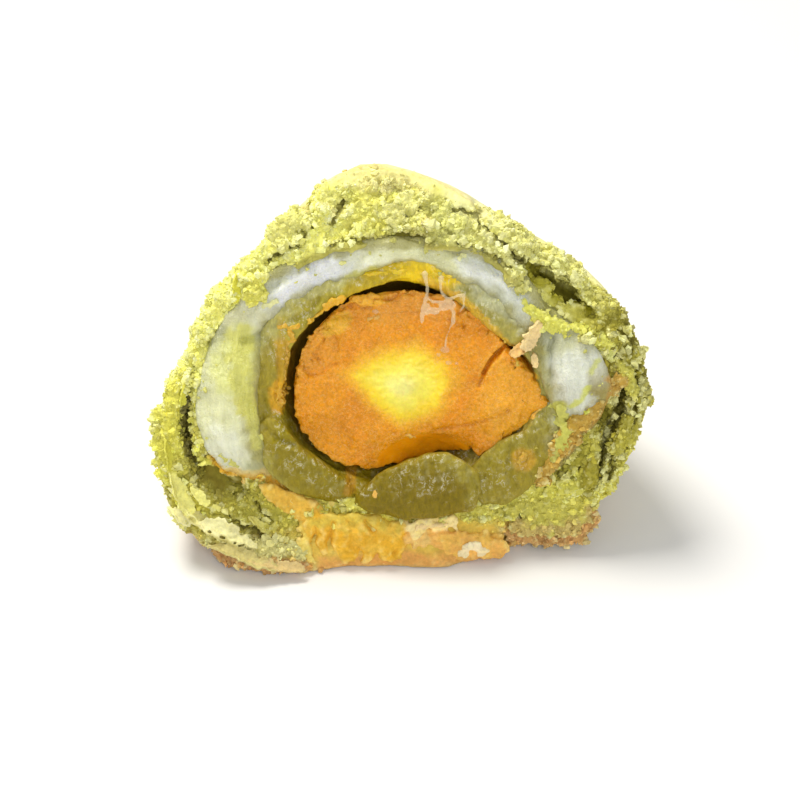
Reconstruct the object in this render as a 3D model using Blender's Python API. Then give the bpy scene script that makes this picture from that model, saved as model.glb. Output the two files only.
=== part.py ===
"""Half of a round egg yolk pastry, torn open: a green crust round mochi, bean paste and a salted yolk.

Lengths named _MM are millimetres. The torn face looks along -Y and leans back, the domed skin is behind
it, and the flat baked base lies on Z = 0. Every layer is described as seen from straight in front: its
edge is a distance from the yolk's middle at some hours of a clock face, and the tear gives the depth.
"""

import math

import bmesh
import bpy
from mathutils import Matrix, Vector, noise

MM = 0.001

# The yolk's middle, seen from straight in front, above the floor and a little right of the middle.
MIDDLE_X_MM = 0.7
MIDDLE_Z_MM = 19.2

# The tear: it leans back as it rises, and above the filling the crust has broken off further back.
TEAR_LEAN_DEG = 20.0
TOP_SLOPE_DEG = 45.0
TOP_SLOPE_FROM_MM = 33.5
TOP_SLOPE_BLEND_MM = 1.0

# Edges of the layers: clock hour -> distance from the yolk's middle.
CRUST_EDGE_MM = {
    0: 20.5, 0.5: 19.6, 1: 19.5, 1.5: 20.8, 2: 22.7, 2.5: 25.0, 3: 26.3, 4: 25.0, 4.5: 25.2, 5: 25.2,
    6: 24.4, 7: 25.6, 7.5: 28.3, 8: 30.0, 8.5: 29.3, 9: 26.0, 10: 22.6, 10.5: 21.8, 11: 21.8, 11.5: 21.8,
}
MOCHI_EDGE_MM = {
    0: 14.6, 1: 15.9, 1.5: 16.6, 2: 16.8, 2.5: 20.2, 3: 21.6, 3.5: 19.9, 4: 18.0, 5: 14.5,
    6: 14.0, 7: 15.2, 8: 19.8, 8.5: 23.0, 9: 23.0, 10: 20.2, 11: 16.4,
}
PASTE_EDGE_MM = {
    0: 12.9, 1: 12.8, 2: 14.0, 3: 15.6, 3.5: 17.8, 4: 16.8, 5: 13.5,
    6: 13.0, 7: 14.2, 8: 17.6, 9: 17.6, 10: 16.6, 11: 13.4,
}
CAVITY_EDGE_MM = {
    0: 11.2, 1: 11.2, 2: 11.9, 3: 14.8, 4: 12.6, 5: 10.5,
    6: 9.9, 7: 11.9, 8: 14.3, 9: 14.7, 10: 13.6, 11: 11.8,
}
YOLK_EDGE_MM = {
    0: 9.4, 1: 9.8, 2: 10.8, 2.5: 12.0, 3: 14.1, 3.5: 12.6, 4: 10.9, 5: 9.4,
    6: 9.0, 7: 10.3, 8: 12.5, 9: 12.8, 10: 11.8, 11: 10.2,
}

# How far behind the tear's foot each rounded back reaches.
CRUST_BACK_MM = 34.5
MOCHI_BACK_MM = 30.0
PASTE_BACK_MM = 27.2
CAVITY_BACK_MM = 22.0
YOLK_BACK_MM = 21.2

# A back runs from its rim to a pole, lower than the yolk's middle: the bun is widest near its foot.
# Its section is a superellipse: clock hour -> exponent. Under 2 it falls away steeply behind the rim,
# 2 is an ellipse, and a high one is nearly square, as at the base. Near the pole it is never under 2.
POLE_Z_MM = 15.5
SHOULDER_EXPONENT = {
    0: 1.35, 1: 1.28, 2: 1.35, 3: 1.8, 4.5: 3.0, 6: 4.6, 7.5: 3.0, 9: 1.8, 10: 1.35, 11: 1.28,
}
ROUND_EXPONENT = 2.0

# The dough settled on the tray: below this height the crust's lower edge rounds over to the flat base.
SETTLES_BELOW_MM = 4.0
SETTLES_WITHIN_MM = 5.2

LAYER_GAP_MM = 0.4
CLOCK_STEPS = 48
BACK_STEPS = 10
HOLLOW_STEPS = 9
RIM_STEPS = 4
YOLK_FACE_STEPS = 5
# Relief of the torn face dies away quickly on the way to the back.
RELIEF_FADE = 4

# Crumbling lumps between the edges of a torn layer: how far they stand out, and how wide they are.
CRUST_LUMPS_MM = 1.6
MOCHI_LUMPS_MM = 0.5
PASTE_LUMPS_MM = 0.8
LUMP_WIDTH_MM = 5.0

# Forward swellings of the torn face: (x, z, half width, half height, forward by), all in mm.
CRUST_SWELLINGS_MM = [
    (-1.0, 0.5, 12.0, 4.5, 1.6),
    (-15.0, 0.5, 6.0, 4.5, 2.2),
    (-21.0, 9.0, 5.0, 6.0, 1.0),
    (17.5, 1.0, 6.5, 5.0, -3.7),
]
MOCHI_SWELLINGS_MM = [
    (-20.0, 15.5, 4.0, 8.0, 1.4),
    (19.6, 21.5, 5.0, 5.0, 1.4),
    (0.0, 33.0, 15.0, 3.5, -1.0),
]
PASTE_SWELLINGS_MM = [
    (1.0, 9.5, 7.0, 3.6, 2.6),
    (-13.0, 10.0, 7.0, 4.0, 1.3),
    (13.0, 10.5, 6.0, 4.0, 0.8),
    (0.0, 31.5, 14.0, 2.5, -1.2),
]
YOLK_SWELLINGS_MM = [
    (0.0, 27.5, 14.0, 4.5, -1.6),
    (3.5, 10.5, 4.6, 2.4, -2.8),
    (11.5, 17.0, 3.0, 3.0, 0.8),
]

# The crack between the crust's outer leaf and the mochi, high on the right: it narrows towards the top,
# and it sinks towards the middle of the half.
CRACK_X_MM = 16.9
CRACK_Z_MM = 29.8
CRACK_LENGTH_MM = 9.5
CRACK_WIDTH_MM = 2.4
CRACK_DEPTH_MM = 5.5
CRACK_TURN_DEG = 66.0
CRACK_AIMS_AT_Y_MM = 26.0
CRACK_SEGMENTS = 16

# name -> colour, roughness
FINISHES = {
    "pastry_crust": ((0.57, 0.55, 0.13), 0.85),
    "mochi_skin": ((0.72, 0.74, 0.58), 0.35),
    "bean_paste": ((0.35, 0.30, 0.06), 0.35),
    "salted_yolk": ((0.80, 0.31, 0.02), 0.6),
}


def edge_at(edge, angle):
    """The edge's distance at an angle from twelve o'clock: a smooth closed curve through its hours."""
    hours = sorted(edge)
    now = math.degrees(angle) % 360 / 30
    after = next((i for i, hour in enumerate(hours) if hour > now), len(hours))
    near = [(after + step) % len(hours) for step in (-2, -1, 0, 1)]
    turns = [(after + step) // len(hours) for step in (-2, -1, 0, 1)]
    hour = [hours[i] + 12 * turn for i, turn in zip(near, turns)]
    far = [edge[hours[i]] for i in near]
    span = hour[2] - hour[1]
    share = (now - hour[1]) / span
    slope_in = (far[2] - far[0]) / (hour[2] - hour[0]) * span
    slope_out = (far[3] - far[1]) / (hour[3] - hour[1]) * span
    return (
        (2 * share**3 - 3 * share**2 + 1) * far[1]
        + (share**3 - 2 * share**2 + share) * slope_in
        + (3 * share**2 - 2 * share**3) * far[2]
        + (share**3 - share**2) * slope_out
    )


def grown(edge, by):
    """The same edge, further out by so much."""
    return {hour: distance + by for hour, distance in edge.items()}


def tear_depth(x, z, swellings):
    """How far back the torn face is at a place seen from in front."""
    lean = math.tan(math.radians(TEAR_LEAN_DEG))
    more = math.tan(math.radians(TOP_SLOPE_DEG)) - lean
    above = (z - TOP_SLOPE_FROM_MM) / TOP_SLOPE_BLEND_MM
    depth = lean * z + more * TOP_SLOPE_BLEND_MM * math.log1p(math.exp(min(above, 40.0)))
    return depth - forward(x, z, swellings)


def forward(x, z, swellings):
    """The sum of the face's rounded swellings at a place."""
    return sum(
        height * math.exp(-(((x - at_x) / half_x) ** 2 + ((z - at_z) / half_z) ** 2))
        for at_x, at_z, half_x, half_z, height in swellings
    )


def place(edge, angle):
    """A point of an edge, seen from in front."""
    reach = edge_at(edge, angle)
    return MIDDLE_X_MM + reach * math.sin(angle), settled(MIDDLE_Z_MM + reach * math.cos(angle))


def settled(z):
    """A height once the dough has settled: low ones close up towards just under the floor."""
    if z > SETTLES_BELOW_MM:
        return z
    return SETTLES_BELOW_MM - SETTLES_WITHIN_MM * (1 - math.exp((z - SETTLES_BELOW_MM) / SETTLES_WITHIN_MM))


def back_point(edge, back, swellings, angle, turn):
    """A point on a rounded back: at the tear for a turn of 0, at the pole for 90 degrees."""
    shoulder = edge_at(SHOULDER_EXPONENT, angle)
    outwards = max(0.0, math.cos(turn)) ** (2 / max(shoulder, ROUND_EXPONENT))
    backwards = math.sin(turn) ** (2 / shoulder)
    rim_x, rim_z = place(edge, angle)
    x = MIDDLE_X_MM + (rim_x - MIDDLE_X_MM) * outwards
    z = POLE_Z_MM + (rim_z - POLE_Z_MM) * outwards
    plain = tear_depth(rim_x, rim_z, [])
    relief = forward(rim_x, rim_z, swellings) * (1 - backwards) ** RELIEF_FADE
    return Vector((x, plain * (1 - backwards) + back * backwards - relief, z))


def face_point(inner, outer, swellings, lumps, angle, share):
    """A point on the torn face between two edges, where the lumps are highest half way."""
    inner_x, inner_z = place(inner, angle)
    outer_x, outer_z = place(outer, angle)
    x = inner_x + (outer_x - inner_x) * share
    z = inner_z + (outer_z - inner_z) * share
    lump = lumps * noise.noise(Vector((x, 0, z)) / LUMP_WIDTH_MM) * 4 * share * (1 - share)
    return Vector((x, tear_depth(x, z, swellings) - lump, z))


def turned(name, stations):
    """A closed mesh from stations, each a function of the clock angle, from one pole to the other."""
    bm = bmesh.new()
    last = len(stations) - 1
    bmesh.ops.create_grid(bm, x_segments=last, y_segments=CLOCK_STEPS, size=0.5)
    for vertex in bm.verts:
        station = stations[round((vertex.co.x + 0.5) * last)]
        step = round((vertex.co.y + 0.5) * CLOCK_STEPS) % CLOCK_STEPS
        vertex.co = station(2 * math.pi * step / CLOCK_STEPS) * MM
    bmesh.ops.remove_doubles(bm, verts=bm.verts, dist=1e-7)
    bmesh.ops.recalc_face_normals(bm, faces=bm.faces)
    return finished(name, bm)


def finished(name, bm):
    """The bmesh as a named, smooth-shaded object with its own material."""
    mesh = bpy.data.meshes.new(name)
    bm.to_mesh(mesh)
    bm.free()
    mesh.shade_smooth()
    mesh.set_sharp_from_angle(angle=math.radians(35))
    node = bpy.data.objects.new(name, mesh)
    bpy.context.scene.collection.objects.link(node)
    if name in FINISHES:
        mesh.materials.append(material(name, *FINISHES[name]))
    return node


def material(name, colour, roughness):
    made = bpy.data.materials.new(name)
    made.use_nodes = True
    shader = made.node_tree.nodes["Principled BSDF"]
    shader.inputs["Base Color"].default_value = (*colour, 1.0)
    shader.inputs["Roughness"].default_value = roughness
    shader.inputs["Metallic"].default_value = 0.0
    return made


def turns(steps, from_tear):
    """Angles along a rounded back, closer together at its pole, in order from or towards the tear."""
    angles = [math.radians(90) * step / steps for step in range(steps + 1)]
    return angles if from_tear else angles[::-1]


def ring_layer(name, outer, back, hollow, hollow_back, swellings, lumps):
    """A bowl-shaped layer: rounded back, torn rim, and the hollow that holds the next layer."""
    stations = [
        lambda angle, turn=turn: back_point(outer, back, swellings, angle, turn)
        for turn in turns(BACK_STEPS, from_tear=False)
    ]
    stations += [
        lambda angle, share=1 - step / RIM_STEPS: face_point(hollow, outer, swellings, lumps, angle, share)
        for step in range(1, RIM_STEPS)
    ]
    stations += [
        lambda angle, turn=turn: back_point(hollow, hollow_back, swellings, angle, turn)
        for turn in turns(HOLLOW_STEPS, from_tear=True)
    ]
    return turned(name, stations)


def solid_layer(name, outer, back, swellings):
    """A lump with a rounded back and a torn face, such as the yolk."""
    stations = [
        lambda angle, turn=turn: back_point(outer, back, swellings, angle, turn)
        for turn in turns(BACK_STEPS, from_tear=False)
    ]
    nothing = dict.fromkeys(outer, 0.0)
    stations += [
        lambda angle, share=1 - step / YOLK_FACE_STEPS: face_point(
            nothing, outer, swellings, 0, angle, share
        )
        for step in range(1, YOLK_FACE_STEPS + 1)
    ]
    return turned(name, stations)


def flatten_base(node):
    """Cuts the layer off level where it baked on the tray, and closes the cut."""
    bm = bmesh.new()
    bm.from_mesh(node.data)
    everything = bm.verts[:] + bm.edges[:] + bm.faces[:]
    cut = bmesh.ops.bisect_plane(
        bm, geom=everything, dist=1e-7, plane_co=(0, 0, 0), plane_no=(0, 0, -1), clear_outer=True
    )
    rim = [edge for edge in cut["geom_cut"] if isinstance(edge, bmesh.types.BMEdge)]
    bmesh.ops.holes_fill(bm, edges=rim, sides=0)
    bmesh.ops.recalc_face_normals(bm, faces=bm.faces)
    bm.to_mesh(node.data)
    bm.free()


def cut_crack(node):
    """Opens the crack behind the outer leaf: a lens with pointed ends, sunk into the torn face."""
    bm = bmesh.new()
    bmesh.ops.create_uvsphere(bm, u_segments=CRACK_SEGMENTS, v_segments=CRACK_SEGMENTS // 2, radius=0.5)
    for vertex in bm.verts:
        vertex.co.z *= 1 - 0.45 * (0.5 - vertex.co.x)
    size = Vector((CRACK_LENGTH_MM, 2 * CRACK_DEPTH_MM, CRACK_WIDTH_MM)) * MM
    bmesh.ops.scale(bm, vec=size, verts=bm.verts)
    mouth = Vector((CRACK_X_MM, tear_depth(CRACK_X_MM, CRACK_Z_MM, CRUST_SWELLINGS_MM), CRACK_Z_MM))
    aim = Vector((MIDDLE_X_MM, CRACK_AIMS_AT_Y_MM, POLE_Z_MM)) - mouth
    turn = aim.to_track_quat("Y", "Z").to_matrix().to_4x4()
    turn @= Matrix.Rotation(math.radians(CRACK_TURN_DEG), 4, "Y")
    bmesh.ops.transform(bm, matrix=turn, verts=bm.verts)
    bmesh.ops.translate(bm, vec=mouth * MM, verts=bm.verts)
    cutter = finished("crack_cutter", bm)
    cutter.hide_render = True
    cutter.display_type = "WIRE"
    crack = node.modifiers.new("crack", "BOOLEAN")
    crack.operation = "DIFFERENCE"
    crack.object = cutter


def centre_footprint(nodes):
    """Moves every layer so that the origin is under the middle of the whole, on the floor."""
    corners = [vertex.co for node in nodes for vertex in node.data.vertices]
    middle_x = (min(c.x for c in corners) + max(c.x for c in corners)) / 2
    middle_y = (min(c.y for c in corners) + max(c.y for c in corners)) / 2
    for node in bpy.context.scene.objects:
        node.data.transform(Matrix.Translation((-middle_x, -middle_y, 0)))
    print(f"moved by {-middle_x / MM:.3f}, {-middle_y / MM:.3f} mm")


def build():
    for leftover in list(bpy.data.objects):
        bpy.data.objects.remove(leftover)
    gap = LAYER_GAP_MM
    crust = ring_layer(
        "pastry_crust", CRUST_EDGE_MM, CRUST_BACK_MM,
        grown(MOCHI_EDGE_MM, gap), MOCHI_BACK_MM + gap, CRUST_SWELLINGS_MM, CRUST_LUMPS_MM,
    )
    mochi = ring_layer(
        "mochi_skin", MOCHI_EDGE_MM, MOCHI_BACK_MM,
        grown(PASTE_EDGE_MM, gap), PASTE_BACK_MM + gap, MOCHI_SWELLINGS_MM, MOCHI_LUMPS_MM,
    )
    paste = ring_layer(
        "bean_paste", PASTE_EDGE_MM, PASTE_BACK_MM,
        CAVITY_EDGE_MM, CAVITY_BACK_MM, PASTE_SWELLINGS_MM, PASTE_LUMPS_MM,
    )
    yolk = solid_layer("salted_yolk", YOLK_EDGE_MM, YOLK_BACK_MM, YOLK_SWELLINGS_MM)
    flatten_base(crust)
    cut_crack(crust)
    centre_footprint([crust, mochi, paste, yolk])


build()
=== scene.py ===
# %% [markdown]
# # Half of an egg yolk pastry, torn open
# The pastry is a round bun: a crumbly green tea crust, a soft white mochi skin, olive bean paste and a
# whole salted egg yolk. It was torn in two, and this half stands on its flat baked base. The plain solids
# of the four layers come from the CAD model. This notebook gives each of them its real surface: crumbs,
# flakes, folds, grains and colour. All lengths below are in millimetres unless they say otherwise.

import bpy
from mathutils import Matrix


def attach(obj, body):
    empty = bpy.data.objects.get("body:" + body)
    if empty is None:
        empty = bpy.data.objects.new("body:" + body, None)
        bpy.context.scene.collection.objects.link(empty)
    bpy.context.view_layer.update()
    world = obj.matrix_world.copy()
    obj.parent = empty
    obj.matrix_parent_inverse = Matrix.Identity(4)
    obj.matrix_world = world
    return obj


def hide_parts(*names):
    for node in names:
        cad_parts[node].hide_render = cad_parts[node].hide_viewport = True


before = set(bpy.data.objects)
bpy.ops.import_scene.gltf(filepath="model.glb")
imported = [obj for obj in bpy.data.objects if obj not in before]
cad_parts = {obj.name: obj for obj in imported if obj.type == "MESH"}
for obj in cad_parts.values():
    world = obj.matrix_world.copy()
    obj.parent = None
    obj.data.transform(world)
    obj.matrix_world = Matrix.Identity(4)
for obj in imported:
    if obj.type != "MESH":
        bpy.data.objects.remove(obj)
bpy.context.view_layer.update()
print("CAD layers:", sorted(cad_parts))

# %% Other modules
import math

import bmesh
import bpy
import numpy as np
from mathutils import Matrix, Vector, noise
from mathutils.bvhtree import BVHTree
from mathutils.kdtree import KDTree

MM = 0.001  # one millimetre in metres, which are Blender's unit
JUST_ABOVE = 0.02  # the lowest that a small thing may lie over the floor
ROUND = 6.28  # a whole turn in radians

# %% [markdown]
# ## Reading and moving the points of a mesh
# Torn food has no straight edges, so most of its shape is made by moving a dense mesh's points a little.
# Blender can hand all points over as one numpy array, which is far quicker than visiting them one by one.

# %% Points, directions and averages of a mesh
def points_of(thing):
    """The points of an object's mesh, in millimetres."""
    flat = np.empty(len(thing.data.vertices) * 3, np.float32)
    thing.data.vertices.foreach_get("co", flat)
    return flat.reshape(-1, 3).astype(float) / MM


def move_points(thing, points, lowest=None):
    """Puts the mesh's points at these places, in millimetres, and none below the lowest height."""
    if lowest is not None:
        points[:, 2] = np.maximum(points[:, 2], lowest)
    thing.data.vertices.foreach_set("co", (points * MM).astype(np.float32).ravel())
    thing.data.update()


def directions_of(thing):
    """The outward direction at each point."""
    flat = np.empty(len(thing.data.vertices) * 3, np.float32)
    thing.data.vertex_normals.foreach_get("vector", flat)
    return flat.reshape(-1, 3).astype(float)


def evened(thing, values, rounds):
    """One value or more for each point, averaged with its neighbours' so many times."""
    total = len(thing.data.vertices)
    ends = np.empty(len(thing.data.edges) * 2, np.int32)
    thing.data.edges.foreach_get("vertices", ends)
    one, other = ends[0::2], ends[1::2]
    near = 1 + np.bincount(one, minlength=total) + np.bincount(other, minlength=total)
    table = values.reshape(total, -1)
    for _ in range(rounds):
        summed = [
            column + np.bincount(one, column[other], total) + np.bincount(other, column[one], total)
            for column in table.T
        ]
        table = (np.array(summed) / near).T
    return table.reshape(values.shape)


def relief_of(thing, rounds):
    """How far each point stands above (or, negative, below) its surroundings."""
    points = points_of(thing)
    return ((points - evened(thing, points, rounds)) * directions_of(thing)).sum(1)


def store(thing, name, values):
    """Keeps values on the mesh's points as an attribute that a material can read."""
    if values.ndim == 1:
        made = thing.data.attributes.new(name, "FLOAT", "POINT")
        made.data.foreach_set("value", values.astype(np.float32))
    else:
        made = thing.data.attributes.new(name, "FLOAT_COLOR", "POINT")
        full = np.ones((len(values), 4), np.float32)
        full[:, :3] = values
        made.data.foreach_set("color", full.ravel())


# %% [markdown]
# ## Noise
# Three kinds of noise shape the dough. Fractal noise makes soft lumps. Voronoi noise makes cells with
# creases between them. The third gives each Voronoi cell a height and a tilt of its own, which leaves the
# small sharp facets of broken shortcrust. All have a size in real millimetres, and a seed, a whole number
# that picks a different stretch of the same noise.

# %% Noise with a size in millimetres
noise.seed_set(1)  # without it, noise_vector differs each time that Blender starts


def over(points, size, seed, where, rule):
    """The rule's value at each point, in units of the size, or 0 where it isn't wanted."""
    wanted = np.ones(len(points), bool) if where is None else where
    values = np.zeros(len(points))
    rows = points[wanted] / size + seed * np.array([7.3, 3.1, 5.7])
    values[wanted] = [rule(row) for row in rows.tolist()]
    return values


def lumpy(points, size, seed=0, octaves=3, where=None):
    """Soft noise from about -1 to 1, with lumps as wide as the size."""
    return over(points, size, seed, where, lambda row: noise.fractal(row, 1.0, 2.0, octaves))


def cobbled(points, size, seed=0, where=None):
    """Cells as wide as the size: about 0 in the creases between them and up to 1 in their middles."""
    def rule(row):
        nearest = noise.voronoi(row)[0]
        return min(1.0, 1.6 * (nearest[1] - nearest[0]))

    return over(points, size, seed, where, rule)


def broken(points, size, seed=0, where=None):
    """Tilted facets as wide as the size, from about -1 to 1, with a small step between neighbours."""
    def rule(row):
        middle = noise.voronoi(row)[1][0]
        tilt = noise.cell_vector(middle * 37.7) - Vector((0.5, 0.5, 0.5))
        return 0.9 * tilt.x + 1.8 * tilt.dot(Vector(row) - middle)

    return over(points, size, seed, where, rule)


print("soft noise at one place:", lumpy(np.array([[1.5, 2.5, 0.5]]), 1.0).round(3))

# %% [markdown]
# ## Finding a place on the torn face
# Every place on the torn face is named as it is seen from straight in front: by an x and a height z, or
# by an hour of a clock face round the yolk and a distance from the yolk's middle. The tear leans back,
# and above the filling it leans back more.

# %% The clock face and the tear
MIDDLE_X, MIDDLE_Z = 1.0, 19.2
TEAR_FOOT_Y = -16.04
LEAN = math.tan(math.radians(20))
TOP_LEAN = math.tan(math.radians(45))
TOP_FROM_Z = 33.5
FACES_UP = math.radians(22)
TEAR_FACES = np.array([0, -math.cos(FACES_UP), math.sin(FACES_UP)])


def behind_tear(points):
    """How far behind the plain tear each point is."""
    z = points[:, 2]
    return points[:, 1] - (LEAN * z + (TOP_LEAN - LEAN) * np.logaddexp(0, z - TOP_FROM_Z) + TEAR_FOOT_Y)


def tear_place(x, z, forward=0.0):
    """A place on the plain tear, or so far in front of it."""
    y = LEAN * z + (TOP_LEAN - LEAN) * np.logaddexp(0, z - TOP_FROM_Z) + TEAR_FOOT_Y
    return Vector((x, y, z)) + Vector(TEAR_FACES) * forward


def clock(points):
    """The hour and the distance from the yolk's middle of each point, seen from in front."""
    across = points[:, 0] - MIDDLE_X
    up = points[:, 2] - MIDDLE_Z
    return np.degrees(np.arctan2(across, up)) / 30 % 12, np.hypot(across, up)


def edge_of(node):
    """The outline of a CAD layer seen from in front, as a function of the hour."""
    hours, reach = clock(points_of(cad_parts[node]))
    quarter = np.round(hours * 4).astype(int) % 48
    far = np.array([reach[quarter == q].max() for q in range(48)])
    return lambda hour: np.interp(hour % 12, np.arange(49) / 4, np.append(far, far[0]))


def between(hours, start, end, soft=0.4):
    """1 from one hour to another, clockwise, fading out over a few tenths of an hour."""
    half = (end - start) % 12 / 2
    off = np.abs((hours - start - half + 6) % 12 - 6)
    return np.clip((half + soft - off) / soft, 0, 1)


def eased(share):
    """A smooth step: 0 up to 0, 1 from 1 on, and a soft slope between."""
    share = np.clip(share, 0, 1)
    return share * share * (3 - 2 * share)


# %% Marks on the torn face
def oval(points, x, z, half_x, half_z, turn=0, ragged=0.3, size=1.6, soft=0.35):
    """1 inside a ragged oval seen from in front and 0 outside it."""
    angle = math.radians(turn)
    dx, dz = points[:, 0] - x, points[:, 2] - z
    along = (dx * math.cos(angle) + dz * math.sin(angle)) / half_x
    aside = (dz * math.cos(angle) - dx * math.sin(angle)) / half_z
    off = np.hypot(along, aside)
    off = off + ragged * lumpy(points, size, 3, where=off < 2)
    return eased((1 + soft / 2 - off) / soft)


def off_line(points, line):
    """How far each point is from a line of (x, z) places, seen from in front."""
    flat = points[:, [0, 2]]
    nearest = np.full(len(points), 1e9)
    for start, end in zip(np.array(line[:-1], float), np.array(line[1:], float)):
        step = end - start
        share = np.clip((flat - start) @ step / (step @ step), 0, 1)
        nearest = np.minimum(nearest, np.linalg.norm(flat - start - share[:, None] * step, axis=1))
    return nearest


def band(points, line, width, ragged=0.3, size=1.4):
    """1 within half the width of a line and 0 away from it, with a ragged edge."""
    off = off_line(points, line) / (width / 2)
    off = off + ragged * lumpy(points, size, 5, where=off < 2.5)
    return eased((1.25 - off) / 0.5)


# %% Outlines on the torn face
def reach_of(outline):
    """The middle of an outline of (x, z) places, and how far it reaches in each direction."""
    corners = np.array(outline, float)
    line = np.concatenate([np.linspace(a, b, 9)[:-1] for a, b in zip(corners, np.roll(corners, -1, 0))])
    middle = (corners.min(0) + corners.max(0)) / 2
    angles = np.arctan2(line[:, 1] - middle[1], line[:, 0] - middle[0])
    far = np.hypot(line[:, 0] - middle[0], line[:, 1] - middle[1])
    order = np.argsort(angles)
    return middle, lambda angle: np.interp(angle, angles[order], far[order], period=2 * math.pi)


def within(points, outline, soft=0.5, ragged=0.4, size=1.2):
    """1 inside an outline of (x, z) places and 0 outside it, fading over so many millimetres."""
    middle, reach = reach_of(outline)
    dx, dz = points[:, 0] - middle[0], points[:, 2] - middle[1]
    left = reach(np.arctan2(dz, dx)) - np.hypot(dx, dz)
    left = left + ragged * lumpy(points, size, 6, where=np.abs(left) < ragged + soft + 0.5)
    return eased(0.5 + left / soft)


# %% The edges of the layers
crust_edge = edge_of("pastry_crust")
mochi_edge = edge_of("mochi_skin")
paste_edge = edge_of("bean_paste")
yolk_edge = edge_of("salted_yolk")
print("crust reaches at 12, 3 and 9:", [round(float(crust_edge(h)), 1) for h in (12, 3, 9)])


def outwards(points):
    """The direction away from the yolk's middle, seen from in front."""
    away = points - np.array([MIDDLE_X, 0, MIDDLE_Z])
    away[:, 1] = 0
    return away / (np.linalg.norm(away, axis=1)[:, None] + 1e-9)


LAYER_RADIUS = 17  # how far the layers are from the yolk's middle, about


def laid_out(points):
    """How far along its layer, across it and behind the tear each point is."""
    hours, reach = clock(points)
    along = ((hours + 6) % 12 - 6) * math.radians(30) * LAYER_RADIUS
    return np.stack([along, reach, behind_tear(points)], 1)


# %% [markdown]
# ## From a CAD layer to a dense skin
# A copy of a CAD layer starts as loose triangles. Its doubled points are merged, and it is grown a little
# so that neighbouring layers meet. A voxel Remesh then covers it with small even squares, whose points
# are averaged with their neighbours' to round the CAD's facets. The remesh also fuses whatever is added
# later, which suits dough well. A Subdivision Surface would round it too, but it pulls the rims in.

# %% New pieces
def new_piece(name, bm, smooth=True):
    """An object at the origin with the bmesh as its mesh."""
    mesh = bpy.data.meshes.new(name)
    bm.to_mesh(mesh)
    bm.free()
    if smooth:
        mesh.shade_smooth()
    thing = bpy.data.objects.new(name, mesh)
    bpy.context.scene.collection.objects.link(thing)
    return thing


def settle(thing):
    """Makes what the modifiers show the piece's own mesh."""
    graph = bpy.context.evaluated_depsgraph_get()
    made = bpy.data.meshes.new_from_object(thing.evaluated_get(graph))
    thing.modifiers.clear()
    thing.data = made
    made.name = thing.name


def turn_to(way):
    """The turn that brings straight up round to a direction."""
    return Vector(way).to_track_quat("Z", "Y").to_matrix().to_4x4()


# %% Fuse and thin
def fuse(thing, voxel, rounds=0):
    """Covers the piece with squares of that size, fuses what overlaps, and rounds the result."""
    remesh = thing.modifiers.new("fuse", "REMESH")
    remesh.mode = "VOXEL"
    remesh.voxel_size = voxel * MM
    remesh.use_smooth_shade = True
    settle(thing)
    if rounds:
        move_points(thing, evened(thing, points_of(thing), rounds))


def layer_copy(node, name, grow, voxel, rounds):
    """A dense copy of a CAD layer, grown outwards and rounded."""
    bm = bmesh.new()
    bm.from_mesh(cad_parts[node].data)
    bmesh.ops.remove_doubles(bm, verts=bm.verts, dist=1e-6)
    thing = new_piece(name, bm)
    move_points(thing, points_of(thing) + grow * directions_of(thing))
    fuse(thing, voxel, rounds)
    return thing


def thin_out(thing, hidden, share):
    """Leaves that share of the triangles, and takes the rest where the piece is hidden."""
    group = thing.vertex_groups.new(name="hidden")
    group.add(np.flatnonzero(hidden > 0.5).tolist(), 1.0, "REPLACE")
    thinning = thing.modifiers.new("thin", "DECIMATE")
    thinning.ratio = share
    thinning.vertex_group = "hidden"
    settle(thing)
    thing.vertex_groups.clear()


def triangles(thing):
    """How many triangles the piece has."""
    return sum(len(face.vertices) - 2 for face in thing.data.polygons)


# %% Pick places and feel surfaces
def places_on(thing, weight, count, chance):
    """Random places on a piece, likelier where the weight is high, and the outward direction there."""
    mesh = thing.data
    mesh.calc_loop_triangles()
    corners = np.empty(len(mesh.loop_triangles) * 3, np.int32)
    mesh.loop_triangles.foreach_get("vertices", corners)
    corners = corners.reshape(-1, 3)
    first, second, third = (points_of(thing)[corners[:, k]] for k in range(3))
    across = np.cross(second - first, third - first)
    area = np.linalg.norm(across, axis=1) + 1e-12
    odds = area * weight[corners].mean(1)
    picked = chance.choice(len(corners), count, p=odds / odds.sum())
    u, v = chance.random((2, count))
    over = u + v > 1
    u[over], v[over] = 1 - u[over], 1 - v[over]
    u, v = u[:, None], v[:, None]
    places = first[picked] * (1 - u - v) + second[picked] * u + third[picked] * v
    return places, (across / area[:, None])[picked], corners[picked, 0]


def surface_of(*things):
    """A search tree of the pieces' surfaces, for rays to hit."""
    bm = bmesh.new()
    for thing in things:
        bm.from_mesh(thing.data)
    tree = BVHTree.FromBMesh(bm)
    bm.free()
    return tree


RAYS_FROM_Y = -60


def seen_at(tree, x, z):
    """Where a ray from straight in front first meets a surface, and the direction that it faces there."""
    hit, way, _, _ = tree.ray_cast(Vector((x, RAYS_FROM_Y, z)) * MM, Vector((0, 1, 0)))
    if hit is None:
        return tear_place(x, z), Vector(TEAR_FACES)
    return hit / MM, way


# %% [markdown]
# ## Colours and nodes
# Colours are written as sRGB hex, as they look on a screen, and turned to the linear values that a
# shader works in. Where a colour changes from place to place, it is painted on the points by code.

# %% Colour and node helpers
def linear(colour):
    """The linear red, green and blue of an sRGB hex colour."""
    parts = np.array([int(colour[i : i + 2], 16) / 255 for i in (1, 3, 5)])
    return np.where(parts <= 0.04045, parts / 12.92, ((parts + 0.055) / 1.055) ** 2.4)


def painted(paint, *coats):
    """The paint with colours laid over it in turn: each coat is (colour, how strongly at each point)."""
    for colour, weight in coats:
        paint = paint + (linear(colour) - paint) * np.clip(weight, 0, 1)[:, None]
    return paint


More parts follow.
